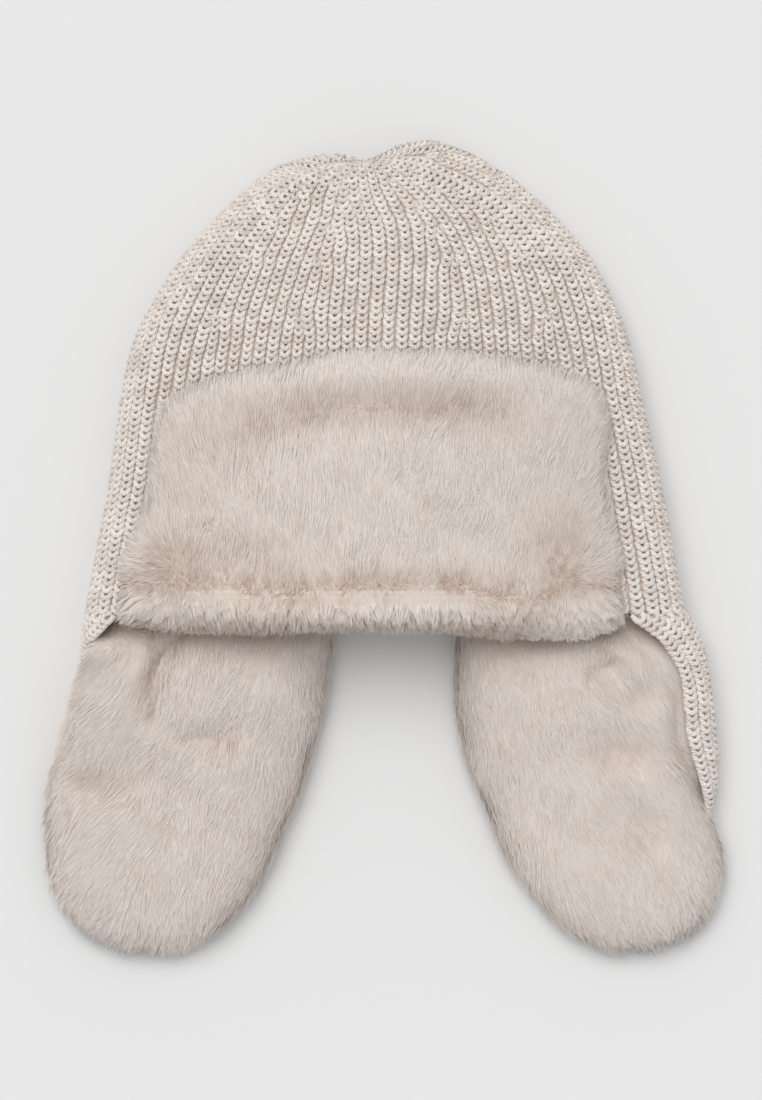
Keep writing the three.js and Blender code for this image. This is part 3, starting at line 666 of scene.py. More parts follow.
# Ribs are drawn narrow once the girth is under DRAWN_IN of the girth at the shoulder's row, down to
# NARROWEST of their width. A rib that is taken in keeps TAKEN_IN of its width and runs on for
# LAST_LEVELS more levels, and each rib's line is eased over EASE_LEVELS.
SHOULDER_ROW = 3
DRAWN_IN = 0.42
NARROWEST = 0.42
TAKEN_IN = 0.6
LAST_LEVELS = 5
EASE_LEVELS = 9
SMALLEST_GIRTH = 1e-6
# How far up its line the first stitch lies, as a share of a stitch's height.
FIRST_STITCH = 0.35
chance = np.random.default_rng(7)


def rib_runs():
    """For each rib of a gore: how far from the gore's near border it stands, how wide it is and at
    which of the crown's levels it ends."""
    shoulder = np.interp(SHOULDER_ROW, crown_levels, crown_girths)
    drawn = np.clip(crown_girths / (DRAWN_IN * shoulder), 0, 1)
    pitch = np.maximum(crown_girths, shoulder) / (RIBS_IN_GORE * GORES)
    pitch = pitch * (NARROWEST + (1 - NARROWEST) * drawn)
    gore = crown_girths / GORES
    ribs = np.clip(np.round(gore / pitch), 1, RIBS_IN_GORE)
    slack = gore - ribs * pitch
    steady = np.ones(EASE_LEVELS) / EASE_LEVELS
    ease = EASE_LEVELS // 2
    for rib in range(RIBS_IN_GORE):
        low, middle, high = (np.minimum((rib + k) / ribs, 1) ** 3 * slack for k in (0, 0.5, 1))
        run = np.minimum((rib + 0.5) * pitch + middle, gore)
        width = np.where(rib < ribs, pitch + high - low, TAKEN_IN * pitch)
        padded = np.pad(run, ease, mode="edge"), np.pad(width, ease, mode="edge")
        run, width = (np.convolve(values, steady, mode="valid") for values in padded)
        ends = np.argmax(ribs <= rib) or len(ribs)
        yield run, width, min(ends + LAST_LEVELS, len(ribs) - 1)


def column_of_stitches(sheet, across, along, width, ends=-1):
    """Stitches one above another up a line on a sheet: across, along, width and heading."""
    line = on_sheet(sheet, across, along)
    climbed = np.concatenate([[0], np.cumsum(np.linalg.norm(np.diff(line, axis=0), axis=1))])
    count = int(climbed[ends] / (STITCH_HEIGHT * MM))
    steps = (np.arange(count) + FIRST_STITCH) * STITCH_HEIGHT * MM
    columns = [across, along, width, *np.gradient(line, axis=0).T]
    return np.stack([np.interp(steps, climbed, column) for column in columns], axis=1)


def crown_stitches():
    """Every stitch on the crown, gore by gore and rib by rib."""
    places = []
    for g in range(GORES):
        from_left = g % (GORES // 2) < GORES // 4
        for run, width, ends in rib_runs():
            offset = np.minimum(run / np.maximum(crown_girths, SMALLEST_GIRTH), 1 / GORES)
            shares = g / GORES + offset if from_left else (g + 1) / GORES - offset
            places.append(column_of_stitches(crown_skin, shares, crown_levels / CROWN_TOP, width, ends))
    return np.concatenate(places)


crown_places = crown_stitches()
print(len(crown_places), "stitches on the crown")

# %% [markdown]
# No two stitches of a real knit are quite alike. Each copy is a little wider, taller or fatter than
# the next, leans a little, and has its plies turned another way and a tone of its own.

# %% Laying stitches
STITCH_SINK = 0.9 * MM
STITCH_WANDER = 0.06
STITCH_TILT = 0.07
PLY_START = 0.01


def lay_stitches(name, sheet, places, template, wraps=False, facing=1):
    """Copies of a stitch at places on a sheet, each with a little wander in size and tilt."""
    shape, faces, yarn = template
    across, along, widths = places[:, :3].T
    count = len(across)
    out = directions(sheet, across, along, wraps, facing)[2]
    heading = places[:, 3:]
    onward = unit(heading - out * (heading * out).sum(axis=1, keepdims=True))
    beside = np.cross(onward, out)
    centre = on_sheet(sheet, across, along) - out * STITCH_SINK
    wander = chance.normal(0, STITCH_WANDER, (count, 3))
    width = widths[:, None] / (STITCH_WIDTH * MM) * (1 + wander[:, :1]) * MM
    height = (1 + wander[:, 1:2]) * MM
    tilt = chance.normal(0, STITCH_TILT, (count, 1))
    turned_beside = beside + onward * tilt
    turned_onward = onward - beside * tilt
    points = (
        centre[:, None]
        + shape[None, :, :1] * (turned_beside * width)[:, None]
        + shape[None, :, 1:2] * (turned_onward * height)[:, None]
        + shape[None, :, 2:] * (out * MM * (1 + wander[:, 2:]))[:, None]
    )
    points[..., 2] = np.maximum(points[..., 2], 0)
    values = np.broadcast_to(yarn[None], (count, *yarn.shape)).copy()
    values[..., 1] += chance.uniform(0, PLY_START, (count, 1))
    values[..., 2] = chance.uniform(0, 1, (count, 1))
    return joined(name, points, faces, "yarn", values, yarn_material)


# %% [markdown]
# The front flap hides the knit behind it, so no stitch is laid well inside its outline. The front
# has the full stitch, and the back, on which the hat lies, the plainer one. The front is what lies
# within FRONT_SHARE of the way round from the middle of the front.

# %% Stitches on the crown
FRONT_SHARE = 0.27
HIDDEN_WIDTH = 0.75
HIDDEN_FROM = 4 * MM
HIDDEN_RISE = 0.7
share, along = crown_places[:, :2].T
spot = on_sheet(crown_skin, share, along)
is_front = (share < FRONT_SHARE) | (share > 1 - FRONT_SHARE)
front_low, front_high = (np.array(corner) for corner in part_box("front_flap_fur"))
flap_middle = (front_low + front_high) / 2
flap_half = (front_high - front_low) / 2
inside_flap = (
    (np.abs(spot[:, 0] - flap_middle[0]) < flap_half[0] * HIDDEN_WIDTH)
    & (spot[:, 1] > rim_y + HIDDEN_FROM)
    & (spot[:, 1] < rim_y + HIDDEN_RISE * (front_high[1] - rim_y))
    & is_front
)
full_stitch = (stitch, stitch_faces, stitch_places)
plain_one = (plain_stitch, plain_faces, plain_places)
for name, chosen, template in (
    ("stitches_right", is_front & ~inside_flap & (share < 0.5), full_stitch),
    ("stitches_left", is_front & ~inside_flap & (share > 0.5), full_stitch),
    ("stitches_back", ~is_front, plain_one),
):
    lay_stitches(name, crown_skin, crown_places[chosen], template, wraps=True)

# %% [markdown]
# ## The ear flaps' knit
# Each ear flap is knitted on its outside. It lies with that side down, and its outer edge curls up
# and over, so its ribs show as a rolled border beside the fur. The tables give the sections from the
# rim down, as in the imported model: where the inner and outer edges are, how big the edge's roll is,
# how many degrees it turns, and how far the lip reaches past it.

# %% Ear flap sections
FLAP_LENGTH = 148 * MM
SEAM_GAP = 0.3 * MM
# Each row: down, inner, outer, roll, turn, reach.
SHELL_ROWS = {
    "right": [
        (0, 0.25, 1.008, 1, 180, 0.072),
        (0.08, 0.245, 1.056, 0.94, 180, 0.012),
        (0.2, 0.25, 1.09, 0.82, 174, 0),
        (0.38, 0.285, 1.112, 0.74, 178, 0),
        (0.53, 0.335, 1.112, 0.58, 150, 0),
        (0.67, 0.41, 1.075, 0.42, 70, 0),
        (0.79, 0.51, 1.04, 0.36, 30, 0),
        (0.87, 0.62, 0.96, 0.36, 20, 0),
        (0.91, 0.71, 0.88, 0.36, 20, 0),
    ],
    "left": [
        (0, 0.172, 0.996, 1, 168, 0),
        (0.045, 0.172, 1.005, 0.96, 148, 0),
        (0.107, 0.178, 1.014, 0.9, 105, 0),
        (0.16, 0.19, 1.02, 0.83, 88, 0),
        (0.3, 0.218, 1.022, 0.7, 80, 0),
        (0.48, 0.275, 1.045, 0.5, 70, 0),
        (0.67, 0.372, 1.06, 0.42, 60, 0),
        (0.79, 0.455, 1.03, 0.36, 30, 0),
        (0.88, 0.565, 0.95, 0.36, 20, 0),
        (0.92, 0.66, 0.86, 0.36, 20, 0),
    ],
}
SIDES = {"right": 1, "left": -1}


def shell_sections(side, at):
    """Sizes of a flap's sections at fractional rows, in metres and radians."""
    down, inner, outer, roll, turn, reach = row_at(SHELL_ROWS[side], at)
    return {
        "y": rim_y - down * FLAP_LENGTH - SEAM_GAP,
        "inner": inner * rim_half,
        "outer": outer * rim_half,
        "roll": np.maximum(roll * side_roll, KNIT_WALL + MM),
        "turn": np.radians(turn),
        "reach": np.maximum(reach, 0) * rim_half,
    }


def shell_sheet(side, rows=60, columns=90):
    """The knit of an ear flap from its tip up to the rim, and from its inner edge round to its lip."""
    table = SHELL_ROWS[side]
    rings = []
    for at in np.linspace(len(table) - 1, 0, rows + 1):
        part = shell_sections(side, at)
        centre = part["outer"] - part["roll"]
        floor_run = centre - part["inner"]
        run = np.linspace(-floor_run, part["roll"] * part["turn"] + part["reach"], columns + 1)
        angle = np.clip(run / part["roll"], 0, part["turn"])
        past = np.maximum(run - part["roll"] * part["turn"], 0)
        x = centre + np.minimum(run, 0) + part["roll"] * np.sin(angle) + past * np.cos(angle)
        z = part["roll"] * (1 - np.cos(angle)) + past * np.sin(angle)
        rings.append(np.stack([hat_x + SIDES[side] * x, np.full_like(x, part["y"]), z], axis=1))
    return np.array(rings)


# %% [markdown]
# An ear flap's wall and stitches are made as the crown's are, on a sheet of its own. Its ribs follow
# the lip, so they are counted from there. Stitches that lie low, where the flap rests, hardly
# show, so they are the plainer ones.

# %% Ear flap walls
SHELL_WALL = {"columns": 44, "rows": 48}
for side, sign in SIDES.items():
    skin = shell_sheet(side)
    outer = sunk(skin, STITCH_DEPTH, **SHELL_WALL, facing=-sign)
    inner = sunk(skin, KNIT_WALL, **SHELL_WALL, facing=-sign)
    wall = laid_grid(f"ear_flap_wall_{side}", pinched(outer, inner), wall_material, facing=-sign)
    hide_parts(f"ear_flap_shell_{side}")


# %% Stitches on the ear flaps
# The first rib's distance from the lip and the narrowest rib kept, as shares of a rib's width.
LIP_RIB = 0.3
NARROWEST_KEPT = 0.4
MOST_RIBS = 30
FLAP_LEVELS = 150
FEWEST_LEVELS = 10
SEEN_ABOVE = 3 * MM


def shell_stitches(side):
    """Every stitch of an ear flap. Its ribs follow the lip, and the innermost are cut by the edge."""
    table = SHELL_ROWS[side]
    sheet = shell_sheet(side)
    pitch = float(crown_girths[0]) / (RIBS_IN_GORE * GORES)
    along = np.linspace(0, 1, FLAP_LEVELS)
    part = shell_sections(side, (1 - along) * (len(table) - 1))
    whole = part["outer"] - part["roll"] - part["inner"] + part["roll"] * part["turn"] + part["reach"]
    places = []
    for rib in range(MOST_RIBS):
        run = whole - (LIP_RIB + rib) * pitch
        kept = run > NARROWEST_KEPT * pitch
        if kept.sum() < FEWEST_LEVELS:
            break
        width = np.full(kept.sum(), pitch)
        places.append(column_of_stitches(sheet, (run / whole)[kept], along[kept], width))
    return sheet, np.concatenate(places)


for side, sign in SIDES.items():
    sheet, places = shell_stitches(side)
    seen = on_sheet(sheet, places[:, 0], places[:, 1])[:, 2] > SEEN_ABOVE
    lay_stitches(f"flap_stitches_{side}", sheet, places[seen], full_stitch, facing=-sign)
    lay_stitches(f"flap_under_stitches_{side}", sheet, places[~seen], plain_one, facing=-sign)

# %% [markdown]
# ## Fur
# A fur piece is a soft pad that holds the form, and strands that grow from it. The pad is a little
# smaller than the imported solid, and the strands fill what is left, so the outline is made of tips.
# Swell is a section's height as a share of the pile, and bank says how far the fur climbs the
# flap's rolled edge. Dents press the pile in, and a dent of less than nothing is a hump.

# %% The ear flaps' fur
PILE = 15 * MM
FUR_GAP = 3 * SEAM_GAP
# A pile's edges are round: these powers of the way across and of what is left say how blunt.
EDGE_BLUNTNESS = 4
EDGE_ROUNDNESS = 0.45
# Where across the flap the fur climbs its rolled edge.
BANK_CLIMB = (0.7, 0.92)
# Each row: down, inner, outer, swell, bank.
EAR_FUR_ROWS = {
    "right": [
        (0, 0.26, 0.82, 1.2, 0.8),
        (0.04, 0.25, 0.875, 1.32, 0.85),
        (0.13, 0.24, 0.96, 1.72, 1.04),
        (0.24, 0.24, 1.0, 1.78, 1.02),
        (0.38, 0.265, 1.0, 1.62, 1),
        (0.5, 0.31, 1.04, 1.5, 0.9),
        (0.6, 0.355, 1.085, 1.4, 0.5),
        (0.72, 0.415, 1.12, 1.34, 0),
        (0.83, 0.505, 1.1, 1.28, 0),
        (0.92, 0.602, 1.012, 1.2, 0),
        (0.976, 0.715, 0.83, 0.95, 0),
    ],
    "left": [
        (0, 0.18, 0.87, 1.2, 0.8),
        (0.04, 0.178, 0.92, 1.32, 0.8),
        (0.1, 0.185, 0.97, 1.6, 1.1),
        (0.18, 0.2, 1.012, 1.78, 1.06),
        (0.34, 0.23, 1.065, 1.68, 0.95),
        (0.5, 0.284, 1.118, 1.5, 0.6),
        (0.61, 0.33, 1.127, 1.4, 0.2),
        (0.74, 0.392, 1.12, 1.34, 0),
        (0.84, 0.462, 1.08, 1.28, 0),
        (0.925, 0.555, 0.985, 1.2, 0),
        (0.98, 0.68, 0.85, 0.95, 0),
    ],
}
# Each dent: across, along, wide, tall, depth.
EAR_DENTS = {
    "right": [
        (0.66, 0.215, 0.1, 0.055, 0.22),
        (0.82, 0.12, 0.1, 0.09, -0.08),
        (0.79, 0.285, 0.1, 0.05, 0.18),
        (0.68, 0.415, 0.14, 0.055, 0.18),
        (0.68, 0.62, 0.14, 0.08, 0.1),
    ],
    "left": [
        (0.69, 0.22, 0.05, 0.15, 0.3),
        (0.82, 0.17, 0.09, 0.17, -0.08),
        (0.41, 0.405, 0.12, 0.03, 0.22),
        (0.8, 0.5, 0.18, 0.06, 0.2),
    ],
}


def crowned(w):
    """A pile's height across its width: full in the middle and nothing at both edges."""
    return (1 - np.abs(2 * np.clip(w, 0, 1) - 1) ** EDGE_BLUNTNESS) ** EDGE_ROUNDNESS


def smoothstep(value, low, high):
    """0 up to low, 1 from high, and a smooth change between them."""
    t = np.clip((value - low) / (high - low), 0, 1)
    return t * t * (3 - 2 * t)


def dented(dents, across, along):
    """The share by which all the dents together press a pile in."""
    total = np.zeros_like(across)
    for middle, place, wide, tall, depth in dents:
        total += depth * np.exp(-(((across - middle) / wide) ** 2) - ((along - place) / tall) ** 2)
    return total


def ear_fur(side, across, along):
    """Under and upper side of an ear flap's fur: x from the hat's middle, y, under and upper."""
    rows = EAR_FUR_ROWS[side]
    down, inner, outer, swell, bank = row_at(rows, along * (len(rows) - 1))
    x = (inner + (outer - inner) * across) * rim_half
    part = shell_sections(side, row_where(SHELL_ROWS[side], 0, down))
    centre, radius = part["outer"] - part["roll"], part["roll"] - KNIT_WALL
    stop = radius * np.sin(np.minimum(part["turn"], np.pi / 2))
    past = np.clip(x - centre, 0, stop)
    under = part["roll"] - np.sqrt(np.maximum(radius**2 - past**2, 0)) + FUR_GAP
    pile = swell * PILE * crowned(across) * (1 - dented(EAR_DENTS[side], across, along))
    body = KNIT_WALL + FUR_GAP + pile
    banked = np.maximum(bank, 0) * (2 * part["roll"] - KNIT_WALL - SEAM_GAP)
    climb = smoothstep(across, *BANK_CLIMB) * np.clip(bank, 0, 1)
    upper = body + (np.maximum(banked, body) - body) * climb
    y = rim_y - down * FLAP_LENGTH - SEAM_GAP
    return SIDES[side] * x, y, np.minimum(under, upper), np.maximum(upper, under)


# %% [markdown]
# The front flap is one pad that lies on the crown. It is folded at the rim, where its edge hangs
# down as a roll, and the fur above the roll parts. Its seat is the crown's own front, so the flap
# follows the crown wherever it lies.

# %% The front flap's fur
# Each row: up, left, right, swell.
FRONT_FUR_ROWS = [
    (-0.075, 0.8, 0.76, 0.2),
    (-0.05, 0.9, 0.85, 0.58),
    (-0.0125, 0.97, 0.885, 0.86),
    (0.03, 1, 0.895, 1),
    (0.09, 1, 0.895, 1),
    (0.17, 0.975, 0.88, 1),
    (0.3, 0.93, 0.85, 1),
    (0.46, 0.885, 0.83, 1),
    (0.62, 0.87, 0.835, 1.02),
    (0.73, 0.845, 0.83, 1.06),
    (0.81, 0.72, 0.79, 1.03),
    (0.875, 0.43, 0.6, 0.85),
    (0.93, 0.12, 0.22, 0.42),
]
# Each dent: across, along, wide, tall, depth.
FRONT_DENTS = [
    (0.55, 0.77, 0.18, 0.09, 0.44),
    (0.36, 0.74, 0.12, 0.08, 0.3),
    (0.22, 0.7, 0.1, 0.08, 0.16),
    (0.74, 0.75, 0.09, 0.08, 0.24),
    (0.1, 0.2, 0.07, 0.09, 0.45),
    (0.9, 0.24, 0.07, 0.1, 0.32),
]
FRONT_FLAP_RISE = 114 * MM
FRONT_FLAP_HALF = 0.856 * rim_half
FRONT_ROLL_DROP = 10 * MM
FRONT_ROLL_LIFT = 5 * MM
ROLL_MIDDLE = 3 * MM
ROLL_CURL = 4 * MM
CURL_FROM = 0.4
# How far the roll hangs at the left, in the middle and at the right, and where it changes.
ROLL_SHARES = (0.68, 0.45, 1)
ROLL_LEFT = (0.15, 0.42)
ROLL_RIGHT = (0.58, 0.8)
RIM_ROUND = 1.5 * MM
PARTING_MIDDLE = 10 * MM
PARTING_BREADTH = 4 * MM
PARTING_DEPTH = 1.9 * MM


def roll_drop(across):
    """How far the folded edge hangs past the rim."""
    left, middle, right = ROLL_SHARES
    share = left + (middle - left) * smoothstep(across, *ROLL_LEFT)
    share = share + (right - middle) * smoothstep(across, *ROLL_RIGHT)
    return share * FRONT_ROLL_DROP


def front_fur(across, along):
    """Under and upper side of the front flap: x from the hat's middle, y, under and upper."""
    up, left, right, swell = row_at(FRONT_FUR_ROWS, along * (len(FRONT_FUR_ROWS) - 1))
    x = (-left + (left + right) * across) * FRONT_FLAP_HALF
    drop = roll_drop(across)
    y = np.where(up > 0, up * FRONT_FLAP_RISE, -up / FRONT_FUR_ROWS[0][0] * drop)
    at = row_where(CROWN_ROWS, 0, np.clip(y, 0, None) / crown_rise)
    half, top, base, roll, shift = row_at(CROWN_ROWS, at)[2:7]
    seat = section_top(
        x - shift * rim_half, half * rim_half, roll * side_roll, base * loft - PRESSED, top * loft
    )
    seat = seat + FUR_GAP
    hang = smoothstep(-y, SEAM_GAP, RIM_ROUND) * (KNIT_WALL + MM)
    hang = hang - smoothstep(-y / drop, CURL_FROM, 1) * ROLL_CURL
    folded = bell(y - ROLL_MIDDLE, FRONT_ROLL_DROP) * FRONT_ROLL_LIFT
    parting = bell(y - PARTING_MIDDLE, PARTING_BREADTH) * PARTING_DEPTH
    thick = swell * PILE * (1 - dented(FRONT_DENTS, across, along)) + (folded - parting) * swell
    return x, rim_y + y, seat - hang, seat + thick * crowned(across)


# %% [markdown]
# A pad is a closed sheet that runs over its top and back underneath. It fills PAD_SHARE of the
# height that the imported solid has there, and its colours are those of the underfur.

# %% Pads
PAD_SHARE = 0.86
PAD_GRID = (40, 48)
# The far end is round: these powers of the way along and of what is left say how blunt it is.
END_BLUNTNESS = 10
END_ROUNDNESS = 0.4


def fur_sheets(place, columns, rows, share):
    """The under side and the top of a pad, as two sheets of points. The far end is rounded down."""
    across, along = np.meshgrid(np.linspace(0, 1, columns + 1), np.linspace(0, 1, rows + 1))
    x, y, under, upper = place(across, along)
    top = under + (upper - under) * share * (1 - along**END_BLUNTNESS) ** END_ROUNDNESS
    low = np.stack([hat_x + x, y, under], axis=-1)
    return low, np.stack([hat_x + x, y, top], axis=-1)


# Each piece: where its fur lies, and whether its top faces out (1) or has to be turned over (-1).
PLACES = {
    "ear_flap_fur_right": (lambda across, along: ear_fur("right", across, along), -1),
    "ear_flap_fur_left": (lambda across, along: ear_fur("left", across, along), 1),
    "front_flap_fur": (front_fur, 1),
}
for node, (place, facing) in PLACES.items():
    low, top = fur_sheets(place, *PAD_GRID, PAD_SHARE)
    pad = laid_grid(f"{node}_pad", pinched(low, top), underfur_material, facing=-facing)
    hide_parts(node)


# %% [markdown]
# ## Strands
# The pile is made of two kinds of strand. Most are short, straight and thin, one triangle each, and
# give the dense silky ground. Some longer ones, ribbons of two pieces that bend and taper, lie over
# them. Every strand starts on the pad and lies down in the direction in which the fur is combed.
# Fur clings together, so strands keep to small tufts, whose strands turn, rise and are toned alike,
# and to locks, whose tips draw together where the fur is tousled. A strand's normals are turned
# towards the pile's own, because light spreads from strand to strand in fur.

# %% Kinds of strand
# Each kind: the stops of its spine, its width there, its faces, length and width.
KINDS = {
    "strands": ((0, 0.5, 1), (1, 0.75, 0), [(1, 0, 2), (1, 2, 3), (3, 2, 4)], 10.5 * MM, 0.32 * MM),
    "pile": ((0, 1), (1, 0), [(1, 0, 2)], 8 * MM, 0.46 * MM),
}
STRAND_LIFT = 0.3
SIDE_LIFT = 0.5
TUFT_SIZE = 12
LOCK_SIZES = {"strands": 16, "pile": 90}
TUFT_PULL = 0.12
LOCK_PULL = 0.42
SPRING = 0.5
PILE_NORMAL = 0.75
# How much turn, length, rise, tone and brown differ, from tuft to tuft, lock to lock or strand to
# strand: a spread, or the least and most.
TUFT_TURN = 0.08
LOCK_TURN = 0.24
STRAND_TURN = 0.1
TUFT_LENGTH = (0.92, 1.08)
STRAND_LENGTH = (0.7, 1.1)
TUFT_RISE = 0.04
STRAND_RISE = 0.06
TUFT_TONE = 0.14
STRAND_TONE = 0.25
TUFT_BROWN = (0.5, 1.5)
STRAND_BREADTH = (0.7, 1.3)
STRAND_TWIST = 0.2
# Where a strand's bend and tip lie: as shares of its length along the comb, and of its rise outwards.
BEND_PLACE = (0.45, 0.6)
TIP_PLACE = (0.95, 0.3)
FLOOR_GAP = 0.4 * MM


# %% [markdown]
# A strand grows from a random place on the sheet. Its curve has three points, root, bend and tip,
# and a narrow ribbon is laid along it. The ribbon's face is turned up, because a strand that showed
# its underside would look dark.

# %% Growing strands
def scattered(sheet, count):
    """Random places on a sheet, as many on each square millimetre."""
    across_edge = sheet[:-1, 1:] - sheet[:-1, :-1]
    along_edge = sheet[1:, :-1] - sheet[:-1, :-1]
    area = np.linalg.norm(np.cross(across_edge, along_edge), axis=2)
    rows, columns = area.shape
    cell = chance.choice(area.size, count, p=area.reshape(-1) / area.sum())
    across = (cell % columns + chance.random(count)) / columns
    along = (cell // columns + chance.random(count)) / rows
    return across, along


def tufted(points, tuft_size):
    """For each point the index of its tuft: the nearest of some of the points."""
    tufts = max(len(points) // tuft_size, 1)
    chosen = chance.choice(len(points), tufts, replace=False)
    tree = KDTree(tufts)
    for index, point in enumerate(points[chosen]):
        tree.insert(point, index)
    tree.balance()
    return chosen[np.array([tree.find(point)[1] for point in points])]


def ruffled(points):
    """Slow changes over the pile, as it lies after handling: a turn and a lift. They are sums of
    waves about 20 to 50 mm long."""
    x, y = points[:, 0] / MM, points[:, 1] / MM
    sway = 2 * np.sin(0.07 * y)
    turn = 0.2 * np.sin(0.10 * x + 0.06 * y + sway) + 0.12 * np.sin(0.25 * x - 0.14 * y)
    lift = 0.06 * np.sin(0.17 * x + 0.22 * y) + 0.05 * np.sin(0.09 * x - 0.16 * y + 1)
    return turn, lift


def spread(amount, count):
    """Random differences about nothing."""
    return chance.normal(0, amount, count)


def lying(heading, out, turn):
    """Unit directions in which strands lie: a heading in plan, bent to the surface and turned."""
    comb = np.concatenate([unit(heading), np.zeros((len(heading), 1))], axis=1)
    comb = unit(comb - out * (comb * out).sum(axis=1, keepdims=True) * SPRING)
    return unit(comb + np.cross(out, comb) * turn[:, None])


def ribbons(spine, flat, width, taper):
    """Points of ribbons along spines: two at each stop, and one at the tip."""
    count = len(spine)
    breadth = width * chance.uniform(*STRAND_BREADTH, (count, 1, 1)) * np.array(taper)[None, :, None] / 2
    side = flat[:, None] * breadth
    points = np.stack([spine - side, spine + side], axis=2).reshape(count, -1, 3)[:, :-1]
    points[..., 2] = np.maximum(points[..., 2], FLOOR_GAP)
    return points


def grow_fur(name, kind, sheet, count, flow, facing=1):
    """Strands of one kind all over a sheet, combed along a flow in plan."""
    stops, taper, faces, length, width = KINDS[kind]
    across, along = scattered(sheet, count)
    root = on_sheet(sheet, across, along)
    out = directions(sheet, across, along, facing=facing)[2]
    heading, reach, brown, tousle, light = flow(root[:, 0] - hat_x, root[:, 1] - rim_y)
    tuft = tufted(root, TUFT_SIZE)
    lock = tufted(root, LOCK_SIZES[kind])
    slow_turn, slow_lift = ruffled(root)
    turn = slow_turn + spread(TUFT_TURN, count)[tuft] + spread(STRAND_TURN, count)
    turn = turn + tousle * spread(LOCK_TURN, count)[lock]
    comb = lying(heading, out, turn)
    run = length * reach * chance.uniform(*TUFT_LENGTH, count)[tuft]
    run = run * chance.uniform(*STRAND_LENGTH, count)
    rise = STRAND_LIFT + slow_lift + spread(TUFT_RISE, count)[tuft] + spread(STRAND_RISE, count)
    rise = rise + SIDE_LIFT * (1 - np.abs(out[:, 2]))
    run, rise = run[:, None], rise[:, None]
    tip = root + run * (comb * TIP_PLACE[0] + out * rise * TIP_PLACE[1])
    tip = tip + (tip[tuft] - tip) * TUFT_PULL
    tip = tip + (tip[lock] - tip) * LOCK_PULL * tousle[:, None]
    bend = root + run * (comb * BEND_PLACE[0] + out * rise * BEND_PLACE[1])
    curve = [root * (1 - t) ** 2 + 2 * t * (1 - t) * bend + t * t * tip for t in stops]
    ahead = unit(tip - root)
    flat = unit(np.cross(out + spread(STRAND_TWIST, (count, 3)), ahead))
    flat = flat * np.sign((np.cross(ahead, flat) * out).sum(axis=1, keepdims=True))
    points = ribbons(np.stack(curve, axis=1), flat, width, taper)
    values = np.zeros((count, points.shape[1], 3))
    values[..., 0] = np.repeat(stops, 2)[:-1]
    tone = light + spread(TUFT_TONE, count)[tuft] + spread(STRAND_TONE, count)
    values[..., 1] = np.clip(tone, 0, 1)[:, None]
    values[..., 2] = np.clip(brown * chance.uniform(*TUFT_BROWN, count)[tuft], 0, 1)[:, None]
    normal = unit(out * PILE_NORMAL + np.cross(ahead, flat) * (1 - PILE_NORMAL))
    normals = np.repeat(normal[:, None], points.shape[1], axis=1)
    return joined(name, points, np.array(faces), "strand", values, fur_material, normals)


# %% [markdown]
# ## How the fur is combed
# On the front flap the fur parts along a line above the folded edge: it is combed up above the line
# and down below it, and swirls outwards from one root near each end. On the ear flaps it falls
# towards the tip and outwards. Where the pile opens, its brown roots show. Brown at the roots and a
# darker tone at the tips are also painted shade on the roll, in dips and in creases, and a lighter
# tone is painted light at the top of the front flap and near the rim of the ear flaps. All places are
# in millimetres from the middle of the rim.

# %% Combing the front flap
PARTING_PATH = [
    (-118, 12),
    (-87, 13.6),
    (-62, 10.1),
    (-37, 9.2),
    (-9, 11.9),
    (25, 12.8),
    (43, 9.2),
    (65, 5.7),
    (79, 12),
    (105, 12),
]
PARTING_WOBBLE = 1.2 * MM
PARTING_BLUR = 0.8 * MM
PARTING_TURN = 1.5 * MM
PARTING_SHORTER = 0.4
PARTING_TOUSLE = (-5 * MM, 1 * MM)
# The heading's lean to the right, how it fans out with the width, and how it does at the ends.
LEAN = 0.08
FAN = 0.3
END_FAN = 1.2
END_FROM = 0.7
# How much longer, more tousled and lighter the fur is at the ends.
END_LONGER = 0.1
END_TOUSLE = 0.3
END_LIGHT = 0.25
# The roll's roots are brown, partly as real brown and partly as painted shade, and its tips carry a
# painted shade, from where it turns, going down, to where that ends, going right. Below the parting
# the fur grows from short to long going up, over FOLD_GROWS.
ROLL_TURNS = (-5 * MM, 6 * MM)
ROLL_ENDS = (40 * MM, 85 * MM)
ROLL_BROWN_AND_SHADE = 0.8
ROLL_SHADE = 0.8
FOLD_GROWS = (-9 * MM, 4 * MM)
FOLD_REACH = 0.35
FOLD_GROWTH = 0.5
# How tousled and how light the fur is by itself, the painted shade at the left and the painted light at
# the top.
FRONT_TOUSLE = 0.06
FRONT_LIGHT = 0.88
LEFT_SHADE = 0.15
LEFT_SHADE_AT = -70 * MM
LEFT_SHADE_BREADTH = 30 * MM
TOP_LIGHT = 0.3
TOP_FROM = (90 * MM, 100 * MM)
# The swirls' pull on their outer and inner side, and how far round their roots the fur is bare and
# how far it is short.
SWIRL_PULL = (2.4, 0.6)
SWIRL_BARE = 8 * MM
SWIRL_SHORT = 9 * MM
SWIRL_SHORTER = 0.55
# Each swirl: x and y of its root and its size in millimetres, and how much of its roots shows.
SWIRLS = [(-92, 19, 24, 2), (75, 18, 22, 0.7)]
# Each place where the pile stands open and its roots show, and in the dip below the upper edge
# where the brown is also painted shade: x, y, breadth, height and how much.
OPEN_PLACES = [
    (12, 84, 30, 8, 0.85),
    (-36, 80, 22, 8, 0.55),
    (-60, 72, 16, 9, 0.4),
    (48, 78, 14, 8, 0.35),
    (-88, 55, 16, 26, 0.22),
    (-60, 22, 30, 9, 0.35),
    (72, 28, 14, 14, 0.4),
]


def add_brown_and_shade(brown, x, y, places):
    """Adds to the brown what the places give: roots that show where the pile is open, and painted shade
    in dips and folds.
    """
    for middle_x, middle_y, wide, tall, amount in places:
        brown = brown + amount * bell(x - middle_x * MM, wide * MM) * bell(y - middle_y * MM, tall * MM)
    return brown


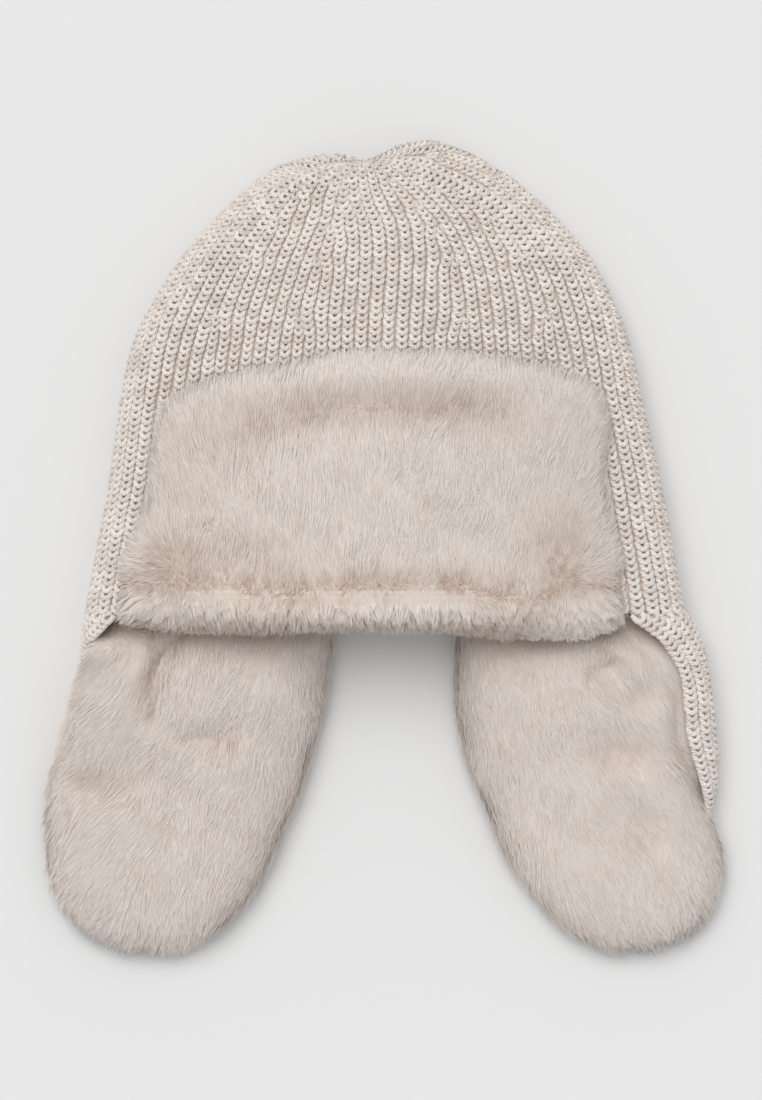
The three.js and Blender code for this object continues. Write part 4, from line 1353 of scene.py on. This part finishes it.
def away_from(root, x, y):
    """Ways in plan from a root, given in millimetres, to places, and their lengths."""
    away = np.stack([x - root[0] * MM, y - root[1] * MM], axis=1)
    return away, np.linalg.norm(away, axis=1)


def front_flow(x, y):
    """How the front flap's fur lies at places in the hat's own frame. Returns its heading, its
    length as a share, how brown its roots show, with painted shade on the roll, how tousled it is and
    how light its tips are, with painted shade and painted light in it."""
    path = np.array(PARTING_PATH) * MM
    wobble = PARTING_WOBBLE * np.sin(x / MM * 0.43) * np.sin(x / MM * 0.12 + 1)
    above = y - np.interp(x, path[:, 0], path[:, 1]) + wobble + chance.normal(0, PARTING_BLUR, len(x))
    outer = x / FRONT_FLAP_HALF
    edge = smoothstep(np.abs(outer), END_FROM, 1.0)
    heading = np.stack([LEAN + FAN * outer, np.clip(above / PARTING_TURN, -1, 1)], axis=1)
    heading = heading + np.stack([np.sign(x) * edge * END_FAN, np.zeros_like(x)], axis=1)

    parted = bell(above, PARTING_BREADTH)
    patchy = 0.5 + 0.5 * np.sin(x / MM * 0.21 + 1) * np.sin(x / MM * 0.067)
    brown = add_brown_and_shade(parted * (0.5 + 0.5 * patchy), x, y, OPEN_PLACES)
    # Painted shade on the roll: brown at the roots, partly real and partly shade, and a darker tip tone.
    leftward = 1 - smoothstep(x, *ROLL_ENDS)
    rolled = smoothstep(-y, *ROLL_TURNS)
    brown = brown + ROLL_BROWN_AND_SHADE * rolled * leftward

    fold = smoothstep(y, *FOLD_GROWS)
    reach = np.where(above < 0, FOLD_REACH + FOLD_GROWTH * fold, 1) * (1 - PARTING_SHORTER * parted)
    for *root, size, bared in SWIRLS:
        away, distance = away_from(root, x, y)
        outward = np.sign(root[0]) * away[:, 0] > -0.3 * distance
        pull = bell(distance, size * MM) * np.where(outward, *SWIRL_PULL)
        heading = heading + pull[:, None] * unit(away)
        brown = brown + bared * bell(distance, SWIRL_BARE)
        reach = reach * (1 - SWIRL_SHORTER * bell(distance, SWIRL_SHORT))
    reach = reach * (1 + END_LONGER * edge)

    tousle = FRONT_TOUSLE + smoothstep(-above, *PARTING_TOUSLE) + END_TOUSLE * edge
    tousle = np.clip(tousle, 0, 1)
    # Painted shade on the roll and at the left, and painted light at the top, set the tips' tone.
    light = FRONT_LIGHT - ROLL_SHADE * rolled * leftward
    light = light - LEFT_SHADE * bell(x - LEFT_SHADE_AT, LEFT_SHADE_BREADTH)
    light = light + TOP_LIGHT * smoothstep(y, *TOP_FROM) + END_LIGHT * edge
    return heading, reach, np.clip(brown, 0, 1), tousle, light


# %% Combing the ear flaps
# The root of the swirl at each flap's outer upper corner, its size, and its pull.
EAR_SWIRL = (115, 0)
EAR_SWIRL_SIZE = 24 * MM
EAR_SWIRL_PULL = 2.2
# Creases in each ear flap, as lines of points, and how wide they are.
CREASES = {
    "right": [(102, -17), (95, -20.5), (88, -26)],
    "left": [(-112, -2), (-103, -8), (-101, -18), (-103, -25), (-102, -33), (-101, -42)],
}
CREASE_BREADTH = 3.2 * MM
# The brown in a crease is partly roots that show and partly painted shade.
CREASE_BROWN = 0.6
CREASE_SHORTER = 0.4
# Places in dips, in folds and under the front flap's edge where brown at the roots is painted shade: x,
# y, breadth, height and how much.
EAR_SHADE_PLACES = {
    "right": [
        (109, -32.5, 10, 5, 0.3),
        (101, -59, 14, 6, 0.3),
        (108, -95, 12, 9, 0.25),
        (96, -10, 3, 6, 0.5),
    ],
    "left": [
        (-84, -52, 6, 2.2, 0.6),
        (-68, -54, 7, 2.2, 0.5),
        (-124, -70, 15, 6, 0.35),
    ],
}
# The fur's outward lean. It is EAR_LEAN at EAR_INNER of the rim's half width, and EAR_FAN more at
# EAR_ACROSS past that. Towards the tip the share EAR_STRAIGHTER of it is lost.
EAR_LEAN = 0.12
EAR_FAN = 0.85
EAR_INNER = 0.3
EAR_ACROSS = 0.7
INNERMOST = -0.3
EAR_STRAIGHTER = 0.6
# The breadth of the strip along the outer border, as a share of the rim's half width, and how much
# more the fur leans outwards there, how much shorter and how much more tousled it is.
BORDER = 0.12
BORDER_LEAN = 0.5
BORDER_SHORTER = 0.1
BORDER_TOUSLE = 0.3
# Brown, tousle and light by themselves, and the painted light near the rim, against the front flap's
# shadow.
EAR_BROWN = 0.1
EAR_TOUSLE = 0.12
CREASE_TOUSLE = 0.5
EAR_LIGHT = 0.94
RIM_LIGHT = 0.2
RIM_LIGHT_FROM = (-50 * MM, -10 * MM)


def from_line(x, y, line):
    """Distance in plan from places to a line of points."""
    near = np.full(len(x), np.inf)
    place = np.stack([x, y], axis=1)
    for start, end in zip(np.array(line) * MM, np.array(line[1:]) * MM):
        way = end - start
        share = np.clip(((place - start) @ way) / (way @ way), 0, 1)
        near = np.minimum(near, np.linalg.norm(place - start - share[:, None] * way, axis=1))
    return near


def ear_flow(side):
    """The way an ear flap's fur lies: from a root at its outer upper corner, down and outwards.
    Returns a function of places that gives what front_flow does."""
    sign = SIDES[side]
    rows = np.array(EAR_FUR_ROWS[side])
    swirl_root = (sign * EAR_SWIRL[0], EAR_SWIRL[1])

    def flow(x, y):
        outer = np.clip((sign * x / rim_half - EAR_INNER) / EAR_ACROSS, INNERMOST, 1)
        down = np.clip(-y / FLAP_LENGTH, 0, 1)
        lean = (EAR_LEAN + EAR_FAN * outer) * (1 - EAR_STRAIGHTER * down**2)
        border = np.interp(down, rows[:, 0], rows[:, 2])
        edge = smoothstep(sign * x / rim_half, border - BORDER, border)
        lean = lean + BORDER_LEAN * edge * (1 - down)
        heading = np.stack([sign * lean, -np.ones_like(x)], axis=1)
        away, distance = away_from(swirl_root, x, y)
        heading = heading + EAR_SWIRL_PULL * bell(distance, EAR_SWIRL_SIZE)[:, None] * unit(away)
        crease = bell(from_line(x, y, CREASES[side]), CREASE_BREADTH)
        # The creases' brown is partly roots and partly painted shade, and the other places' brown is
        # painted shade.
        brown = add_brown_and_shade(EAR_BROWN + CREASE_BROWN * crease, x, y, EAR_SHADE_PLACES[side])
        reach = (1 - CREASE_SHORTER * crease) * (1 - BORDER_SHORTER * edge)
        tousle = EAR_TOUSLE + CREASE_TOUSLE * crease + BORDER_TOUSLE * edge
        # Painted light: the tips are lighter near the rim, against the front flap's shadow.
        light = EAR_LIGHT + RIM_LIGHT * smoothstep(y, *RIM_LIGHT_FROM)
        return heading, reach, np.clip(brown, 0, 1), np.clip(tousle, 0, 1), light

    return flow


# %% [markdown]
# ## Laying the fur
# The front flap's fur is laid in two halves, so that no piece grows too big. The outer border of an
# ear flap's fur overhangs where no knit lies under it, so its under side has short pile too.

# %% Strands on each piece
FUR_GRID = (60, 80)
WHOLE = {"": slice(None)}
HALF = FUR_GRID[0] // 2
HALVES = {"_left": slice(0, HALF + 1), "_right": slice(HALF, FUR_GRID[0] + 1)}
# The rows and the first column of the sheet's grid where the under side has fur.
OVERHANGS = {"ear_flap_fur_right": slice(52, 79), "ear_flap_fur_left": slice(8, 79)}
OVERHANG_COLUMN = 52
OVERHANG_COUNT = 11000
EAR_COUNTS = {"strands": 10000, "pile": 95000}
# The front flap's numbers are for each half.
FRONT_COUNTS = {"strands": 15000, "pile": 98000}
for node, flow, counts, stretches in (
    ("ear_flap_fur_right", ear_flow("right"), EAR_COUNTS, WHOLE),
    ("ear_flap_fur_left", ear_flow("left"), EAR_COUNTS, WHOLE),
    ("front_flap_fur", front_flow, FRONT_COUNTS, HALVES),
):
    place, facing = PLACES[node]
    low, top = fur_sheets(place, *FUR_GRID, PAD_SHARE)
    for kind, count in counts.items():
        for ending, part in stretches.items():
            grown = grow_fur(f"{node}_{kind}{ending}", kind, top[:, part], count, flow, facing)
            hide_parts(node)
    if node in OVERHANGS:
        border = low[OVERHANGS[node], OVERHANG_COLUMN:]
        grown = grow_fur(f"{node}_overhang", "pile", border, OVERHANG_COUNT, flow, -facing)
        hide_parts(node)
